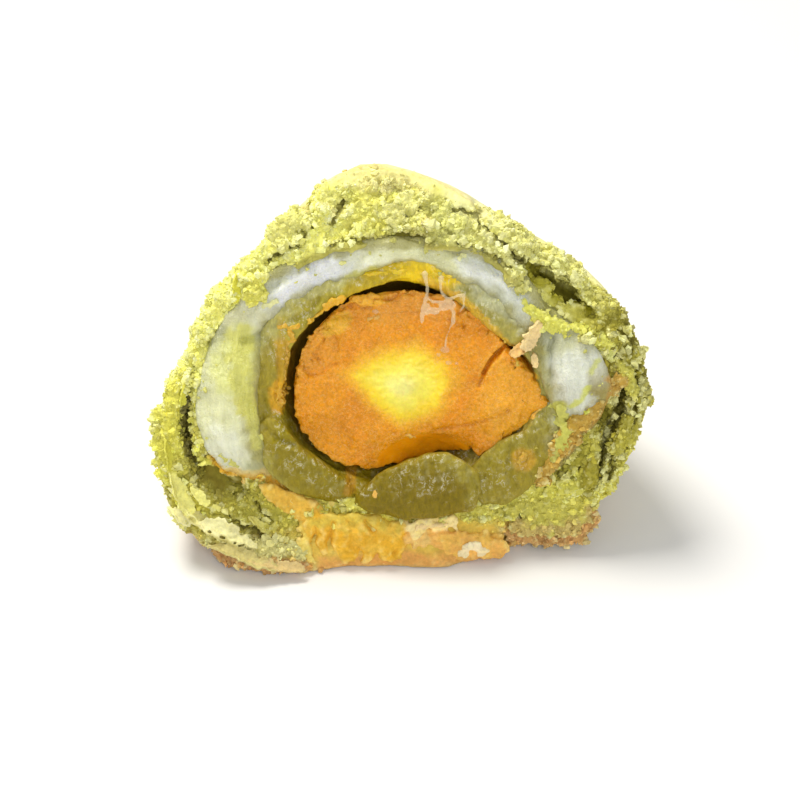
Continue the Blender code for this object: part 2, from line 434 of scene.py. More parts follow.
def patched(paint, points, patches, ragged, size, soft, by=1):
    """Lays ovals of colour on: (x, z, half width, half height, turn, colour, strength) of each."""
    for x, z, half_x, half_z, turn, colour, strength in patches:
        oval_here = oval(points, x, z, half_x, half_z, turn, ragged, size, soft)
        paint = painted(paint, (colour, oval_here * strength * by))
    return paint


def add(tree, kind, settings=None, links=None):
    """Adds a node, fills in its settings, and links its inputs to sockets, or to nodes' first outputs."""
    node = tree.nodes.new("ShaderNode" + kind)
    for key, value in (settings or {}).items():
        if isinstance(key, str) and hasattr(node, key):
            setattr(node, key, value)
        else:
            node.inputs[key].default_value = value
    for key, source in (links or {}).items():
        socket = source.outputs[0] if hasattr(source, "outputs") else source
        tree.links.new(socket, node.inputs[key])
    return node


def new_material(name, settings):
    """A material with its settings on the Principled shader: its node tree and that shader."""
    made = bpy.data.materials.new(name)
    made.use_nodes = True
    shader = made.node_tree.nodes["Principled BSDF"]
    for key, value in settings.items():
        shader.inputs[key].default_value = value
    return made, made.node_tree, shader


print("a middle grey in linear light:", linear("#808080").round(3))


# %% [markdown]
# ## Baked green tea shortcrust
# Flour, lard and powdered tea, baked. It is matt, short and crumbly, so nearly all of its look is shape:
# pale tops and olive creases, which are also painted in as highlight and shade. A little light passes into
# it, which the subsurface setting gives. Its finest grains are about 0.3 mm, and the noise has that size.
# Moist or oily places are less coarse.

# %% Crust material
crust_stuff, tree, shader = new_material(
    "baked_green_tea_shortcrust",
    {"Roughness": 0.8, "Specular IOR Level": 0.22, "Subsurface Weight": 0.12, "Subsurface Scale": 0.001},
)
shader.inputs["Subsurface Radius"].default_value = (1.0, 0.85, 0.3)
where = add(tree, "TexCoord").outputs["Object"]
paint = add(tree, "Attribute", {"attribute_name": "paint"}).outputs["Color"]
coarse = add(tree, "Attribute", {"attribute_name": "coarse"}).outputs["Fac"]
grain = add(tree, "TexNoise", {"Scale": 1000 / 0.5, "Detail": 4.0, "Roughness": 0.65}, {"Vector": where})
crumbs = add(tree, "TexVoronoi", {"Scale": 1000 / 0.45}, {"Vector": where})
mottle = add(tree, "TexNoise", {"Scale": 1000 / 1.8, "Detail": 3.0}, {"Vector": where})
# The grain is painted paler where its bump is high and darker where it is low: its own tone, and painted
# highlight and shade.
tops = add(tree, "MapRange", {1: 0.34, 2: 0.66, 3: 0.86, 4: 1.13}, {0: grain})
wide = add(tree, "MapRange", {1: 0.35, 2: 0.65, 3: 0.93, 4: 1.05}, {0: mottle})
shade = add(tree, "Math", {"operation": "MULTIPLY"}, {0: tops, 1: wide})
# The baked skin has hair cracks: they run between cells of about 6 mm, and only in some places.
baked = add(tree, "Attribute", {"attribute_name": "baked"}).outputs["Fac"]
sway = add(tree, "TexNoise", {"Scale": 1000 / 2.5, "Detail": 2.0}, {"Vector": where})
bent = add(tree, "VectorMath", {"operation": "MULTIPLY_ADD", 1: (0.0026,) * 3},
           {0: sway.outputs["Color"], 2: where})
cells = add(tree, "TexVoronoi", {"feature": "DISTANCE_TO_EDGE", "Scale": 1000 / 6.0}, {"Vector": bent})
hair = add(tree, "MapRange", {1: 0.0, 2: 0.032, 3: 1.0, 4: 0.0}, {0: cells.outputs["Distance"]})
parts = add(tree, "TexNoise", {"Scale": 1000 / 8.0, "Detail": 1.0}, {"Vector": where})
some = add(tree, "MapRange", {1: 0.47, 2: 0.56, 3: 0.0, 4: 1.0}, {0: parts})
hair = add(tree, "Math", {"operation": "MULTIPLY"}, {0: hair, 1: some})
hair = add(tree, "Math", {"operation": "MULTIPLY"}, {0: hair, 1: baked})
# The hair cracks are painted darker as well, as painted shade in them.
darker = add(tree, "MapRange", {1: 0.0, 2: 1.0, 3: 1.0, 4: 0.7}, {0: hair})
shade = add(tree, "Math", {"operation": "MULTIPLY"}, {0: shade, 1: darker})
colour = add(tree, "VectorMath", {"operation": "SCALE"}, {0: paint, "Scale": shade})
tree.links.new(colour.outputs[0], shader.inputs["Base Color"])
both = add(tree, "Math", {"operation": "MULTIPLY_ADD", 1: -0.7}, {0: crumbs, 2: grain})
both = add(tree, "Math", {"operation": "MULTIPLY_ADD", 1: -3.0}, {0: hair, 2: both})
strength = add(tree, "Math", {"operation": "MULTIPLY", 1: 0.85}, {0: coarse})
bump = add(tree, "Bump", {"Distance": 0.00026}, {"Height": both, "Strength": strength})
tree.links.new(bump.outputs[0], shader.inputs["Normal"])
print("crust material:", len(tree.nodes), "nodes")

# %% [markdown]
# ## Crust: the big forms
# The torn face of the crust is not flat: it broke in ledges, the outer leaf stands off the mochi on the
# left, and there are pockets and holes. These are pushed into a coarse skin first, because they are
# several millimetres wide. Sculpting by hand would do the same, but code gives the same result each time.

# %% Crust base and its pockets
crust = layer_copy("pastry_crust", "crust_layer", grow=0.3, voxel=0.4, rounds=3)
cad_face = surface_of(*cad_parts.values())
inward = -TEAR_FACES
# Between these hours the baked skin stayed whole up to the tear.
SKIN_FROM, SKIN_TO = 11.2, 0.72


def crust_zones(thing):
    """Where the crust is torn, and how far out each point is: 0 at the mochi, 1 at the outline."""
    points = points_of(thing)
    out = directions_of(thing)
    hours, reach = clock(points)
    inner, outer = mochi_edge(hours), crust_edge(hours)
    share = (reach - inner) / (outer - inner)
    forward = out @ TEAR_FACES
    torn = eased((forward - 0.15) / 0.3) * eased((5.5 - behind_tear(points)) / 1.5)
    # All but the baked top and the foot crumbled over its rim as well.
    spill = eased((4.2 + 1.3 * lumpy(points, 3.0, 19) - behind_tear(points)) / 1.2)
    spill = spill * eased((points[:, 2] - 2.5) / 2)
    torn = evened(thing, np.maximum(torn, spill * (1 - between(hours, SKIN_FROM, SKIN_TO, 0.3))), 3)
    return points, out, hours, share, torn


def flared(points, share, inner=0.0, outer=0.0):
    """The move that spreads a layer's rims sideways under its neighbours, so that no gap shows."""
    near = eased((4 - behind_tear(points)) / 3)
    by = outer * eased((share - 0.8) / 0.2) - inner * eased((0.2 - share) / 0.2)
    return outwards(points) * (by * near)[:, None]


def crumbly(points, hours, share, torn):
    """How crumbly the torn crust is: not on the moist strip by the mochi, nor on the oily foot."""
    moist = between(hours, 10.4, 1.3) * eased((0.14 - share) / 0.1)
    calm = between(hours, 11.3, 0.7, 0.25) * eased((share - 0.89) / 0.08)
    foot = oval(points, 0.5, 1.6, 12.5, 3.4, ragged=0.2)
    pocket = oval(points, -20.2, 9.6, 2.6, 1.7, -30, ragged=0.1)
    slit = within(points, SLIT, 0.6, 0.15)
    return torn * (1 - moist) * (1 - 0.85 * calm) * (1 - foot) * (1 - pocket) * (1 - 0.8 * slit)


# The deep hollow between two sheets of crust, high on the right.
SLIT = [(13.3, 34.0), (15.2, 32.4), (17.6, 31.0), (19.6, 29.6), (21.2, 27.9), (21.3, 26.6), (19.6, 26.1),
        (17.7, 26.9), (16.0, 28.0), (14.6, 29.4), (13.7, 31.2)]


def from_front(points):
    """The points, each moved up to the height where it is seen on the plain tear, from 38 degrees above."""
    up_per_depth = 0.6
    return points + np.outer(up_per_depth * np.maximum(behind_tear(points), 0), (0, 0, 1))


# %% Pockets and notches
# Each pocket: its line of (x, z) places, its width and its depth.
CRUST_POCKETS = [
    ([(-24.0, 17.6), (-24.2, 15.8), (-23.8, 13.4), (-23.0, 11.0)], 1.3, 3.0),
    ([(-22.2, 11.2), (-20.4, 9.7), (-18.6, 8.5)], 3.0, 2.4),
    ([(11.6, 0.2), (12.2, 1.8)], 1.4, 2.2),
    ([(20.4, 12.8), (18.2, 10.2), (16.8, 8.6)], 1.2, 2.2),
    ([(22.7, 16.6), (23.4, 14.2), (22.8, 12.2)], 1.3, 2.2),
    ([(-2.8, 34.5), (0.0, 34.8), (2.2, 34.6)], 1.0, 1.8),
]
points, out, hours, share, torn = crust_zones(crust)
moved = points + out * (0.55 * lumpy(points, 4.5, 1) * torn)[:, None]
for line, width, depth in CRUST_POCKETS:
    off = off_line(points, line) + 0.25 * lumpy(points, 1.5, 4)
    moved += inward * (depth * torn * np.exp(-((np.maximum(off, 0) / (width / 2)) ** 2)))[:, None]
SLIT_DEPTH = 3.6
moved += inward * (SLIT_DEPTH * torn * within(points, SLIT, 1.0, 0.3))[:, None]
moved += flared(points, share, inner=0.5)
# Where the dome meets its shoulders and ledges, the outline has notches: (hour, width in hours, depth).
NOTCHES = [(10.88, 0.09, 2.8), (0.8, 0.08, 0.8), (1.52, 0.07, 0.9), (2.12, 0.07, 0.9), (2.62, 0.06, 0.6)]
for hour, width, depth in NOTCHES:
    off = np.abs((hours - hour + 6) % 12 - 6) / width
    notch = np.exp(-off * off) * eased((share - 0.6) / 0.3) * eased((9 - behind_tear(points)) / 4)
    moved -= outwards(points) * (depth * notch)[:, None]
# The domed skin is smooth, with the slight waves that rolled dough keeps.
moved += out * (0.22 * lumpy(points, 9.0, 6) * (1 - torn))[:, None]
move_points(crust, moved)
print("crust base:", len(crust.data.vertices), "points")

# %% [markdown]
# ## Crust: clods
# Shortcrust breaks into clods of 1 to 4 mm that hang together. Displacement alone gives a soft, melted
# look, because it has no overhangs. So several hundred rough balls are sunk into the torn face and fused
# with it. Some hang over the creases between them, as the real clods do.

# %% Rough balls
chance = np.random.default_rng(11)


def together(parts):
    """One bmesh of several."""
    whole = bmesh.new()
    for part in parts:
        mesh = bpy.data.meshes.new("part")
        part.to_mesh(mesh)
        part.free()
        whole.from_mesh(mesh)
        bpy.data.meshes.remove(mesh)
    return whole


def rough_balls(places, out, sizes, flatness, sink, roughness, batch=120):
    """Rough balls of those widths, sunk in at the places, as one bmesh."""
    parts = []
    for start in range(0, len(places), batch):
        bm = bmesh.new()
        for i in range(start, min(start + batch, len(places))):
            turn = turn_to(out[i]) @ Matrix.Rotation(chance.uniform(0, ROUND), 4, "Z")
            turn @= Matrix.Rotation(chance.normal(0, 0.5), 4, "X")
            stretch = Matrix.Diagonal((chance.uniform(1.0, 1.5), 1, flatness, 1))
            middle = Vector(places[i] - out[i] * sizes[i] * sink)
            made = bmesh.ops.create_icosphere(
                bm, subdivisions=3 if sizes[i] > 2 else 2, radius=sizes[i] / 2 * MM,
                matrix=Matrix.Translation(middle * MM) @ turn @ stretch,
            )
            by = roughness * min(sizes[i], 2.4)
            for vertex in made["verts"]:
                place = vertex.co / MM
                push = noise.noise_vector(place / 1.2) + 0.6 * noise.noise_vector(place / 0.5)
                vertex.co += push * by * MM
        parts.append(bm)
    return together(parts)


# %% Clods on the torn face
points, _, hours, share, torn = crust_zones(crust)
weight = crumbly(points, hours, share, torn)
for line, width, depth in CRUST_POCKETS:
    weight = weight * (1 - np.exp(-((off_line(points, line) / (width * 0.55)) ** 2)))
weight = weight * (1 - within(points, SLIT, 0.8, 0.1))
# No clod stands over the baked skin on top.
weight = np.maximum(weight, 0) * (1 - between(hours, SKIN_FROM, SKIN_TO, 0.2) * eased((share - 0.88) / 0.1))
# (how many, smallest, largest, how far sunk) of each size of clod.
CLODS = [(80, 2.2, 4.0, 0.36), (420, 1.1, 2.3, 0.26), (620, 0.5, 1.1, 0.12)]
parts = []
for count, least, most, sink in CLODS:
    room = weight * eased((1.0 - share) / 0.15) if least > 2 else weight
    places, ways, _ = places_on(crust, room, count, chance)
    sizes = chance.uniform(least, most, count)
    parts.append(rough_balls(places, ways, sizes, flatness=0.62, sink=sink, roughness=0.17))
# A ridge of soft dough covers the thin mochi under the filling.
ridge_hours = np.arange(4.1, 8.0, 0.075)
angles = np.radians(30 * ridge_hours)
reaches = mochi_edge(ridge_hours) + 0.2 + 0.9 * chance.random(len(ridge_hours))
ridge = np.array([
    seen_at(cad_face, MIDDLE_X + reach * math.sin(angle), MIDDLE_Z + reach * math.cos(angle))[0]
    for angle, reach in zip(angles, reaches)
])
sizes = chance.uniform(1.1, 2.4, len(ridge))
ways = np.tile(TEAR_FACES, (len(ridge), 1))
parts.append(rough_balls(ridge, ways, sizes, flatness=0.6, sink=0.1, roughness=0.2))
print("clods:", sum(count for count, _, _, _ in CLODS) + len(ridge))


# %% Lines of crumbs, and the fused crust
def crumb_line(line, count, least, most, spread, forward=0.1, level=None):
    """Rough balls strewn along a line of (x, z) places: on the torn face, or level with the plain tear."""
    line = np.array(line, float)
    far = np.append(0, np.cumsum(np.linalg.norm(np.diff(line, axis=0), axis=1)))
    along = chance.uniform(0, far[-1], count)
    x = np.interp(along, far, line[:, 0]) + chance.normal(0, spread, count)
    z = np.maximum(np.interp(along, far, line[:, 1]) + chance.normal(0, spread, count), 0.5)
    spots = np.array([
        seen_at(cad_face, *spot)[0] if level is None else tear_place(*spot, level) for spot in zip(x, z)
    ])
    sizes = chance.uniform(least, most, count)
    ways = np.tile(TEAR_FACES, (count, 1))
    return rough_balls(spots, ways, sizes, flatness=0.6, sink=-forward, roughness=0.2)


def add_and_fuse(thing, extra, voxel, rounds=0):
    """Joins a bmesh to a piece and fuses the two."""
    extra.from_mesh(thing.data)
    extra.to_mesh(thing.data)
    extra.free()
    fuse(thing, voxel, rounds)


add_and_fuse(crust, together(parts), voxel=0.19)
print("crust with clods:", len(crust.data.vertices), "points")

# %% [markdown]
# ## Crust: crevices, facets and cracks
# On the fused clods come the finer shapes: thin crevices where the dough parted, sharp facets of half a
# millimetre to two millimetres on everything that broke, and fine cracks in the baked skin.

# %% Fine relief of the crust
# Each crevice: its line of (x, z) places, its width and its depth.
CREVICES = [
    ([(-7.9, 36.2), (-6.9, 37.1), (-6.3, 37.9)], 0.6, 1.0),
    ([(-7.8, 34.4), (-5.0, 34.9), (-2.8, 34.5)], 0.6, 0.9),
    ([(-14.9, 32.4), (-13.9, 33.0), (-12.9, 33.9), (-11.8, 34.4)], 0.6, 1.1),
    ([(-11.6, 34.4), (-10.5, 35.4), (-10.2, 36.6)], 0.7, 1.2),
    ([(4.8, 38.2), (5.6, 37.6), (7.4, 36.9), (8.9, 35.8)], 0.5, 0.9),
    ([(8.9, 35.8), (11.4, 34.6), (13.2, 33.4)], 0.5, 0.8),
    ([(11.6, 34.4), (12.9, 33.2), (14.2, 31.8)], 0.7, 1.6),
    ([(15.8, 32.0), (17.6, 31.4), (19.4, 30.0)], 0.5, 0.8),
    ([(-22.8, 21.6), (-23.5, 19.6), (-24.0, 17.6)], 0.5, 0.8),
    ([(-19.2, 26.8), (-20.6, 25.0), (-21.6, 24.0)], 0.4, 0.6),
    ([(-19.6, 5.8), (-17.8, 4.4), (-15.5, 3.8), (-13.4, 2.6)], 0.7, 1.0),
    ([(-16.6, 6.8), (-14.8, 5.2)], 0.5, 0.8),
    ([(24.8, 20.6), (24.5, 16.4), (23.9, 14.0)], 1.2, 2.2),
    ([(22.9, 12.8), (22.2, 9.6), (21.0, 7.8)], 1.1, 2.2),
    ([(26.2, 22.0), (26.4, 18.6), (25.9, 15.4)], 0.6, 1.0),
    ([(24.2, 12.2), (23.4, 9.2)], 0.8, 1.4),
    ([(19.4, 8.2), (17.0, 6.6), (15.4, 6.3)], 0.5, 0.8),
    ([(20.2, 10.4), (18.6, 7.6)], 0.5, 0.9),
    ([(25.6, 16.2), (25.0, 12.6)], 0.5, 1.0),
    ([(14.5, 6.1), (14.9, 6.7)], 1.2, 2.0),
    ([(22.6, 24.6), (24.6, 22.0), (25.2, 19.8)], 0.6, 1.1),
    ([(24.0, 26.2), (25.6, 23.4)], 0.5, 0.8),
    ([(-0.6, 36.4), (2.6, 37.2)], 0.5, 0.7),
    ([(6.2, 34.6), (9.4, 33.8), (12.0, 32.4)], 0.5, 0.8),
]
points, out, hours, share, torn = crust_zones(crust)
rough = np.clip(crumbly(points, hours, share, torn), 0, 1)
hollow = within(points, SLIT, 1.2, 0.2) * (behind_tear(points) > 0.5) * (out @ TEAR_FACES > -0.2)
rough = np.maximum(rough, 0.8 * hollow)
some = rough > 0.04
fine = 0.30 * broken(points, 2.3, 31, some) + 0.24 * broken(points, 1.1, 32, some)
fine += 0.17 * broken(points, 0.6, 33, some) + 0.10 * lumpy(points, 1.6, 8, 3, some)
wander = np.stack([lumpy(points, 1.6, 40 + k, 2, torn > 0.02) for k in range(2)], 1)
bent = points.copy()
bent[:, [0, 2]] += 0.5 * wander
splits = np.zeros(len(points))
for line, width, depth in CREVICES:
    near = np.clip(1 - off_line(bent, line) / (width * 0.6), 0, 1)
    splits = np.maximum(splits, depth * near)
skin = (1 - torn) * (points[:, 2] > 0.6)
swayed = points + 0.8 * np.stack([lumpy(points, 2.5, 16 + k, 2) for k in range(3)], 1)
crack_cells = cobbled(swayed, 6.5, 12, skin > 0.5)
cracks = skin * eased((0.09 - crack_cells) / 0.09) * eased((lumpy(points, 10.0, 13) + 0.1) / 0.25)
shift = fine * rough - 0.3 * cracks
shift += skin * (0.05 * lumpy(points, 0.8, 14, 2) + 0.07 * lumpy(points, 3.0, 15, 2))
soft = 0.10 * lumpy(points, 1.4, 17, 3) + 0.05 * broken(points, 0.9, 34, torn > 0.05)
shift += (torn - rough).clip(0) * soft
moved = points + out * shift[:, None] + inward * (splits * torn)[:, None]
move_points(crust, moved, lowest=0)
print("the finest shapes move the crust by up to", round(float(np.abs(shift).max()), 2), "mm")

# %% [markdown]
# ## Crust: colour
# Dry crumb tops are pale yellow-green, and raised crumbs are painted paler still, as painted highlight;
# creases are painted dark olive, as painted shade.
# The skin is pale, a little golden on top, and the base that touched the tray is brown. Where egg oil soaked
# the foot it turned orange.

# %% Paint the crust
CREASE_SHADE, OLIVE_TONE_AND_SHADE, BODY, CRUMB_HIGHLIGHT = "#5E540A", "#ABA234", "#D9D362", "#FAF8B2"


def crumb_shading(paint, near, wide, by=1.0):
    """Painted highlight and shade: raised crumbs are painted paler, and the deeper a crease is, the darker it
    is painted.
    """
    return painted(
        paint,
        (OLIVE_TONE_AND_SHADE, eased((-wide - 0.05) / 0.7) * 0.6 * by),
        (CRUMB_HIGHLIGHT, eased((near - 0.02) / 0.15) * 0.55 * by),
        (CREASE_SHADE, eased((-near - 0.07) / 0.22) * 0.45 * by),
        (CREASE_SHADE, eased((-wide - 0.5) / 0.9) * 0.7 * by),
    )


near_relief = evened(crust, relief_of(crust, 9), 1)
wide_relief = evened(crust, relief_of(crust, 90), 2)
points, out, hours, share, torn = crust_zones(crust)
paint = painted(
    np.tile(linear(BODY), (len(points), 1)),
    (OLIVE_TONE_AND_SHADE, eased(0.4 - 0.8 * lumpy(points, 5.0, 20)) * 0.35),
    # Painted light and shade: from 9 to 11 o'clock the flank is painted paler, where the lamp falls, and from
    # half past two to half past three darker, in patches.
    ("#FDF988", between(hours, 8.9, 11.2, 0.5) * 0.9),
    ("#E6E392", between(hours, 0.6, 1.8, 0.5) * 0.6),
    ("#ADA43A", between(hours, 2.4, 3.5, 0.4) * 0.85),
    ("#DDD558", between(hours, 3.7, 4.6, 0.5) * 0.85),
    ("#857B1C", between(hours, 2.5, 3.6, 0.4) * eased(0.4 + 1.2 * lumpy(points, 2.6, 26)) * 0.6),
    ("#B9AE3E", between(hours, 7.4, 8.6, 0.5) * 0.6),
    ("#C9BC72", eased((5.5 - points[:, 2]) / 4) * 0.6),
)
# (x, z, half width, half height, turn, colour, strength) of each patch on the torn face.
CRUST_PATCHES = [
    (0.0, 2.4, 13.0, 3.0, 0, "#E0B848", 0.8),
    (1.0, 0.4, 13.5, 1.4, 0, "#DFA055", 0.85),
    (-2.0, 6.1, 11.0, 1.2, 0, "#D9CD4C", 0.8),
    (-15.5, 0.9, 5.5, 1.2, 0, "#CB9156", 0.85),
    # the pocket low on the left, painted dark olive as painted shade
    (-20.4, 9.7, 2.9, 2.0, -30, "#7F7122", 0.85),
    (17.0, 3.6, 5.6, 1.9, 8, "#C09048", 0.75),
    (12.0, 6.6, 4.6, 1.5, 12, "#D0C65A", 0.6),
    (-21.2, 16.5, 1.1, 4.5, 6, "#D6D24E", 0.7),
    (3.0, 36.4, 4.4, 2.2, -14, "#D3D27E", 0.5),
    (-1.6, 39.8, 6.0, 1.2, -4, "#E9DF94", 0.8),
    (6.8, 38.4, 4.4, 1.0, -26, "#F4F0A4", 0.8),
]
paint = patched(paint, points, CRUST_PATCHES, ragged=0.3, size=1.6, soft=0.7, by=torn)
# Painted shade: crevices and the groove inside the outer leaf are painted dark. The strip beside the mochi is
# painted a darker olive, for its moist dough and as painted shade under the crust's rim.
moist = between(hours, 10.4, 1.3) * eased((0.2 - share) / 0.12) * torn
groove = band(points, CRUST_POCKETS[0][0], 1.5, 0.2)
paint = painted(
    crumb_shading(paint, near_relief, wide_relief),
    ("#4A4008", torn * eased(splits / 0.8) * 0.6),
    ("#A39A3C", moist * 0.75),
    ("#584C0A", groove * torn * 0.8),
)
# %% Paint the baked skin
# The skin behind the torn rim.
skin = 1 - evened(crust, torn, 2)
baked = eased(0.5 + 0.9 * lumpy(points, 7.0, 22))
back = eased((behind_tear(points) - 6) / 8)
browned = eased(0.4 + 0.9 * lumpy(points, 9.0, 28)) * eased((points[:, 2] - 14) / 18)
bare = painted(
    np.tile(linear("#E9E49A"), (len(points), 1)),
    ("#FAF5C4", eased(0.5 + lumpy(points, 2.2, 24)) * 0.7),
    ("#EFD690", baked * eased((points[:, 2] - 24) / 14) * 0.6),
    ("#D9CF7E", back * 0.75),
    ("#D9A858", back * browned * 0.7),
    ("#BDB25A", back * eased(0.1 + 1.1 * lumpy(points, 4.0, 29)) * 0.35),
    ("#E8C878", oval(points, -3.6, 40.0, 3.4, 1.6, 10, 0.4, 1.6, 0.8) * 0.6),
    ("#D2CC6A", eased(0.1 + lumpy(points, 1.1, 25)) * 0.4),
    # The foot, and the very bottom that lay on the tray.
    ("#C4934A", eased((9.5 - points[:, 2] + 2.4 * lumpy(points, 3.0, 23)) / 5.5) * 0.9),
    ("#A9713A", eased((2.6 - points[:, 2] + 0.6 * lumpy(points, 1.6, 27)) / 1.8) * 0.85),
    # cracks and dents of the skin are painted darker, as painted shade
    ("#9C9440", cracks * 0.8),
    ("#AFA858", eased(-near_relief / 0.12) * 0.5),
)
paint = paint + (bare - paint) * skin[:, None]
# Inside the hollow the crust is olive, and deeper in it is painted darker, as painted shade.
depth = behind_tear(points) * (out @ TEAR_FACES > -0.2)
slit = within(from_front(points), SLIT, 1.2, 0.3)
paint = painted(
    paint,
    ("#C4BC26", slit * eased((depth - 0.6) / 1.2) * 0.8),
    ("#70680C", slit * eased((depth - 2.2) / 2.0) * 0.8),
)

# %% Finish the crust
store(crust, "paint", paint)
store(crust, "baked", skin)
store(crust, "coarse", 0.25 + 0.75 * evened(crust, crumbly(points, hours, share, torn), 2))
crust.data.materials.append(crust_stuff)

# The back is smooth and nobody sees the hollow, so they carry fewer triangles than the torn face.
MOST_TRIANGLES = 190000
before = triangles(crust)
thin_out(crust, (evened(crust, torn, 12) < 0.03).astype(float), min(1.0, MOST_TRIANGLES / before))
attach(crust, "root")
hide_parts("pastry_crust")
print("crust:", before, "triangles, thinned to", triangles(crust))

# %% [markdown]
# ## Lumps, flaps and folds
# Many soft shapes lie on the torn face: the flap of paste, rolls, golden folds of oily crust, the outer
# leaf. Each is a ball pressed into an outline of (x, z) places, low behind and domed in front. It lies on
# the CAD surface, which is felt with rays at its middle and part of the way to each corner.

# %% Slabs
def slab(outline, lift, dome, under=0.8, ragged=0.08, seed=0, plump=0.6, lean=(0, 0), detail=4):
    """A bmesh of one lump or sheet on the tear: dome is its height in front, lean its slope in x and z."""
    middle, reach = reach_of(outline)
    spots = [middle] + [middle + 0.6 * (np.array(corner) - middle) for corner in outline]
    ahead = []
    for x, z in spots:
        plain = tear_place(x, z)
        ahead.append((plain.y - seen_at(cad_face, x, z)[0].y) * math.cos(FACES_UP))
    level = np.clip(np.median(ahead), -1.5, 2.6)
    bm = bmesh.new()
    bmesh.ops.create_icosphere(bm, subdivisions=detail, radius=1)
    for vertex in bm.verts:
        u, v, w = vertex.co
        share = math.hypot(u, v)
        cos, sin = (u / share, v / share) if share > 1e-6 else (1, 0)
        wobble = 1 + ragged * noise.fractal(Vector((2.5 * cos, 2.5 * sin, 5.1 * seed)), 1.0, 2.0, 4)
        far = float(reach(math.atan2(v, u))) * wobble * share
        x, z = middle[0] + far * cos, middle[1] + far * sin
        forward = level + lift + lean[0] * far * cos + lean[1] * far * sin
        forward += dome * w**plump if w > 0 else under * w
        vertex.co = tear_place(x, z, forward) * MM
    return bm


def joined(name, parts, voxel, rounds=1):
    """Fuses parts, each a (bmesh, colour), into one piece, and gives each place the colour of its part."""
    colours = []
    for part, colour in parts:
        colours += [linear(colour)] * len(part.verts)
    whole = together([part for part, _ in parts])
    nearest = KDTree(len(whole.verts))
    for i, vertex in enumerate(whole.verts):
        nearest.insert(vertex.co, i)
    nearest.balance()
    thing = new_piece(name, whole)
    fuse(thing, voxel, rounds)
    found = [nearest.find(vertex.co)[1] for vertex in thing.data.vertices]
    return thing, evened(thing, np.array(colours)[found], 2)


def finish_crust(thing, paint, coarse):
    """Gives a small piece of crust its colours, its coarseness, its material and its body."""
    store(thing, "paint", paint)
    store(thing, "coarse", np.full(len(thing.data.vertices), coarse))
    thing.data.materials.append(crust_stuff)
    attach(thing, "root")
    print(thing.name + ":", triangles(thing), "triangles")


def finish_crumbs(thing, paint, relief, coarse, seed, by=1.0):
    """Breaks up the surface of a piece of crust, paints highlight and shade on it and finishes it."""
    points = points_of(thing)
    fine = broken(points, 0.9, seed) + 0.6 * broken(points, 0.45, seed + 1)
    fine = fine + 0.8 * lumpy(points, 1.1, seed + 2)
    move_points(thing, points + directions_of(thing) * (relief * fine)[:, None], lowest=JUST_ABOVE)
    near = evened(thing, relief_of(thing, 7), 1)
    finish_crust(thing, crumb_shading(paint, near, near, by), coarse)


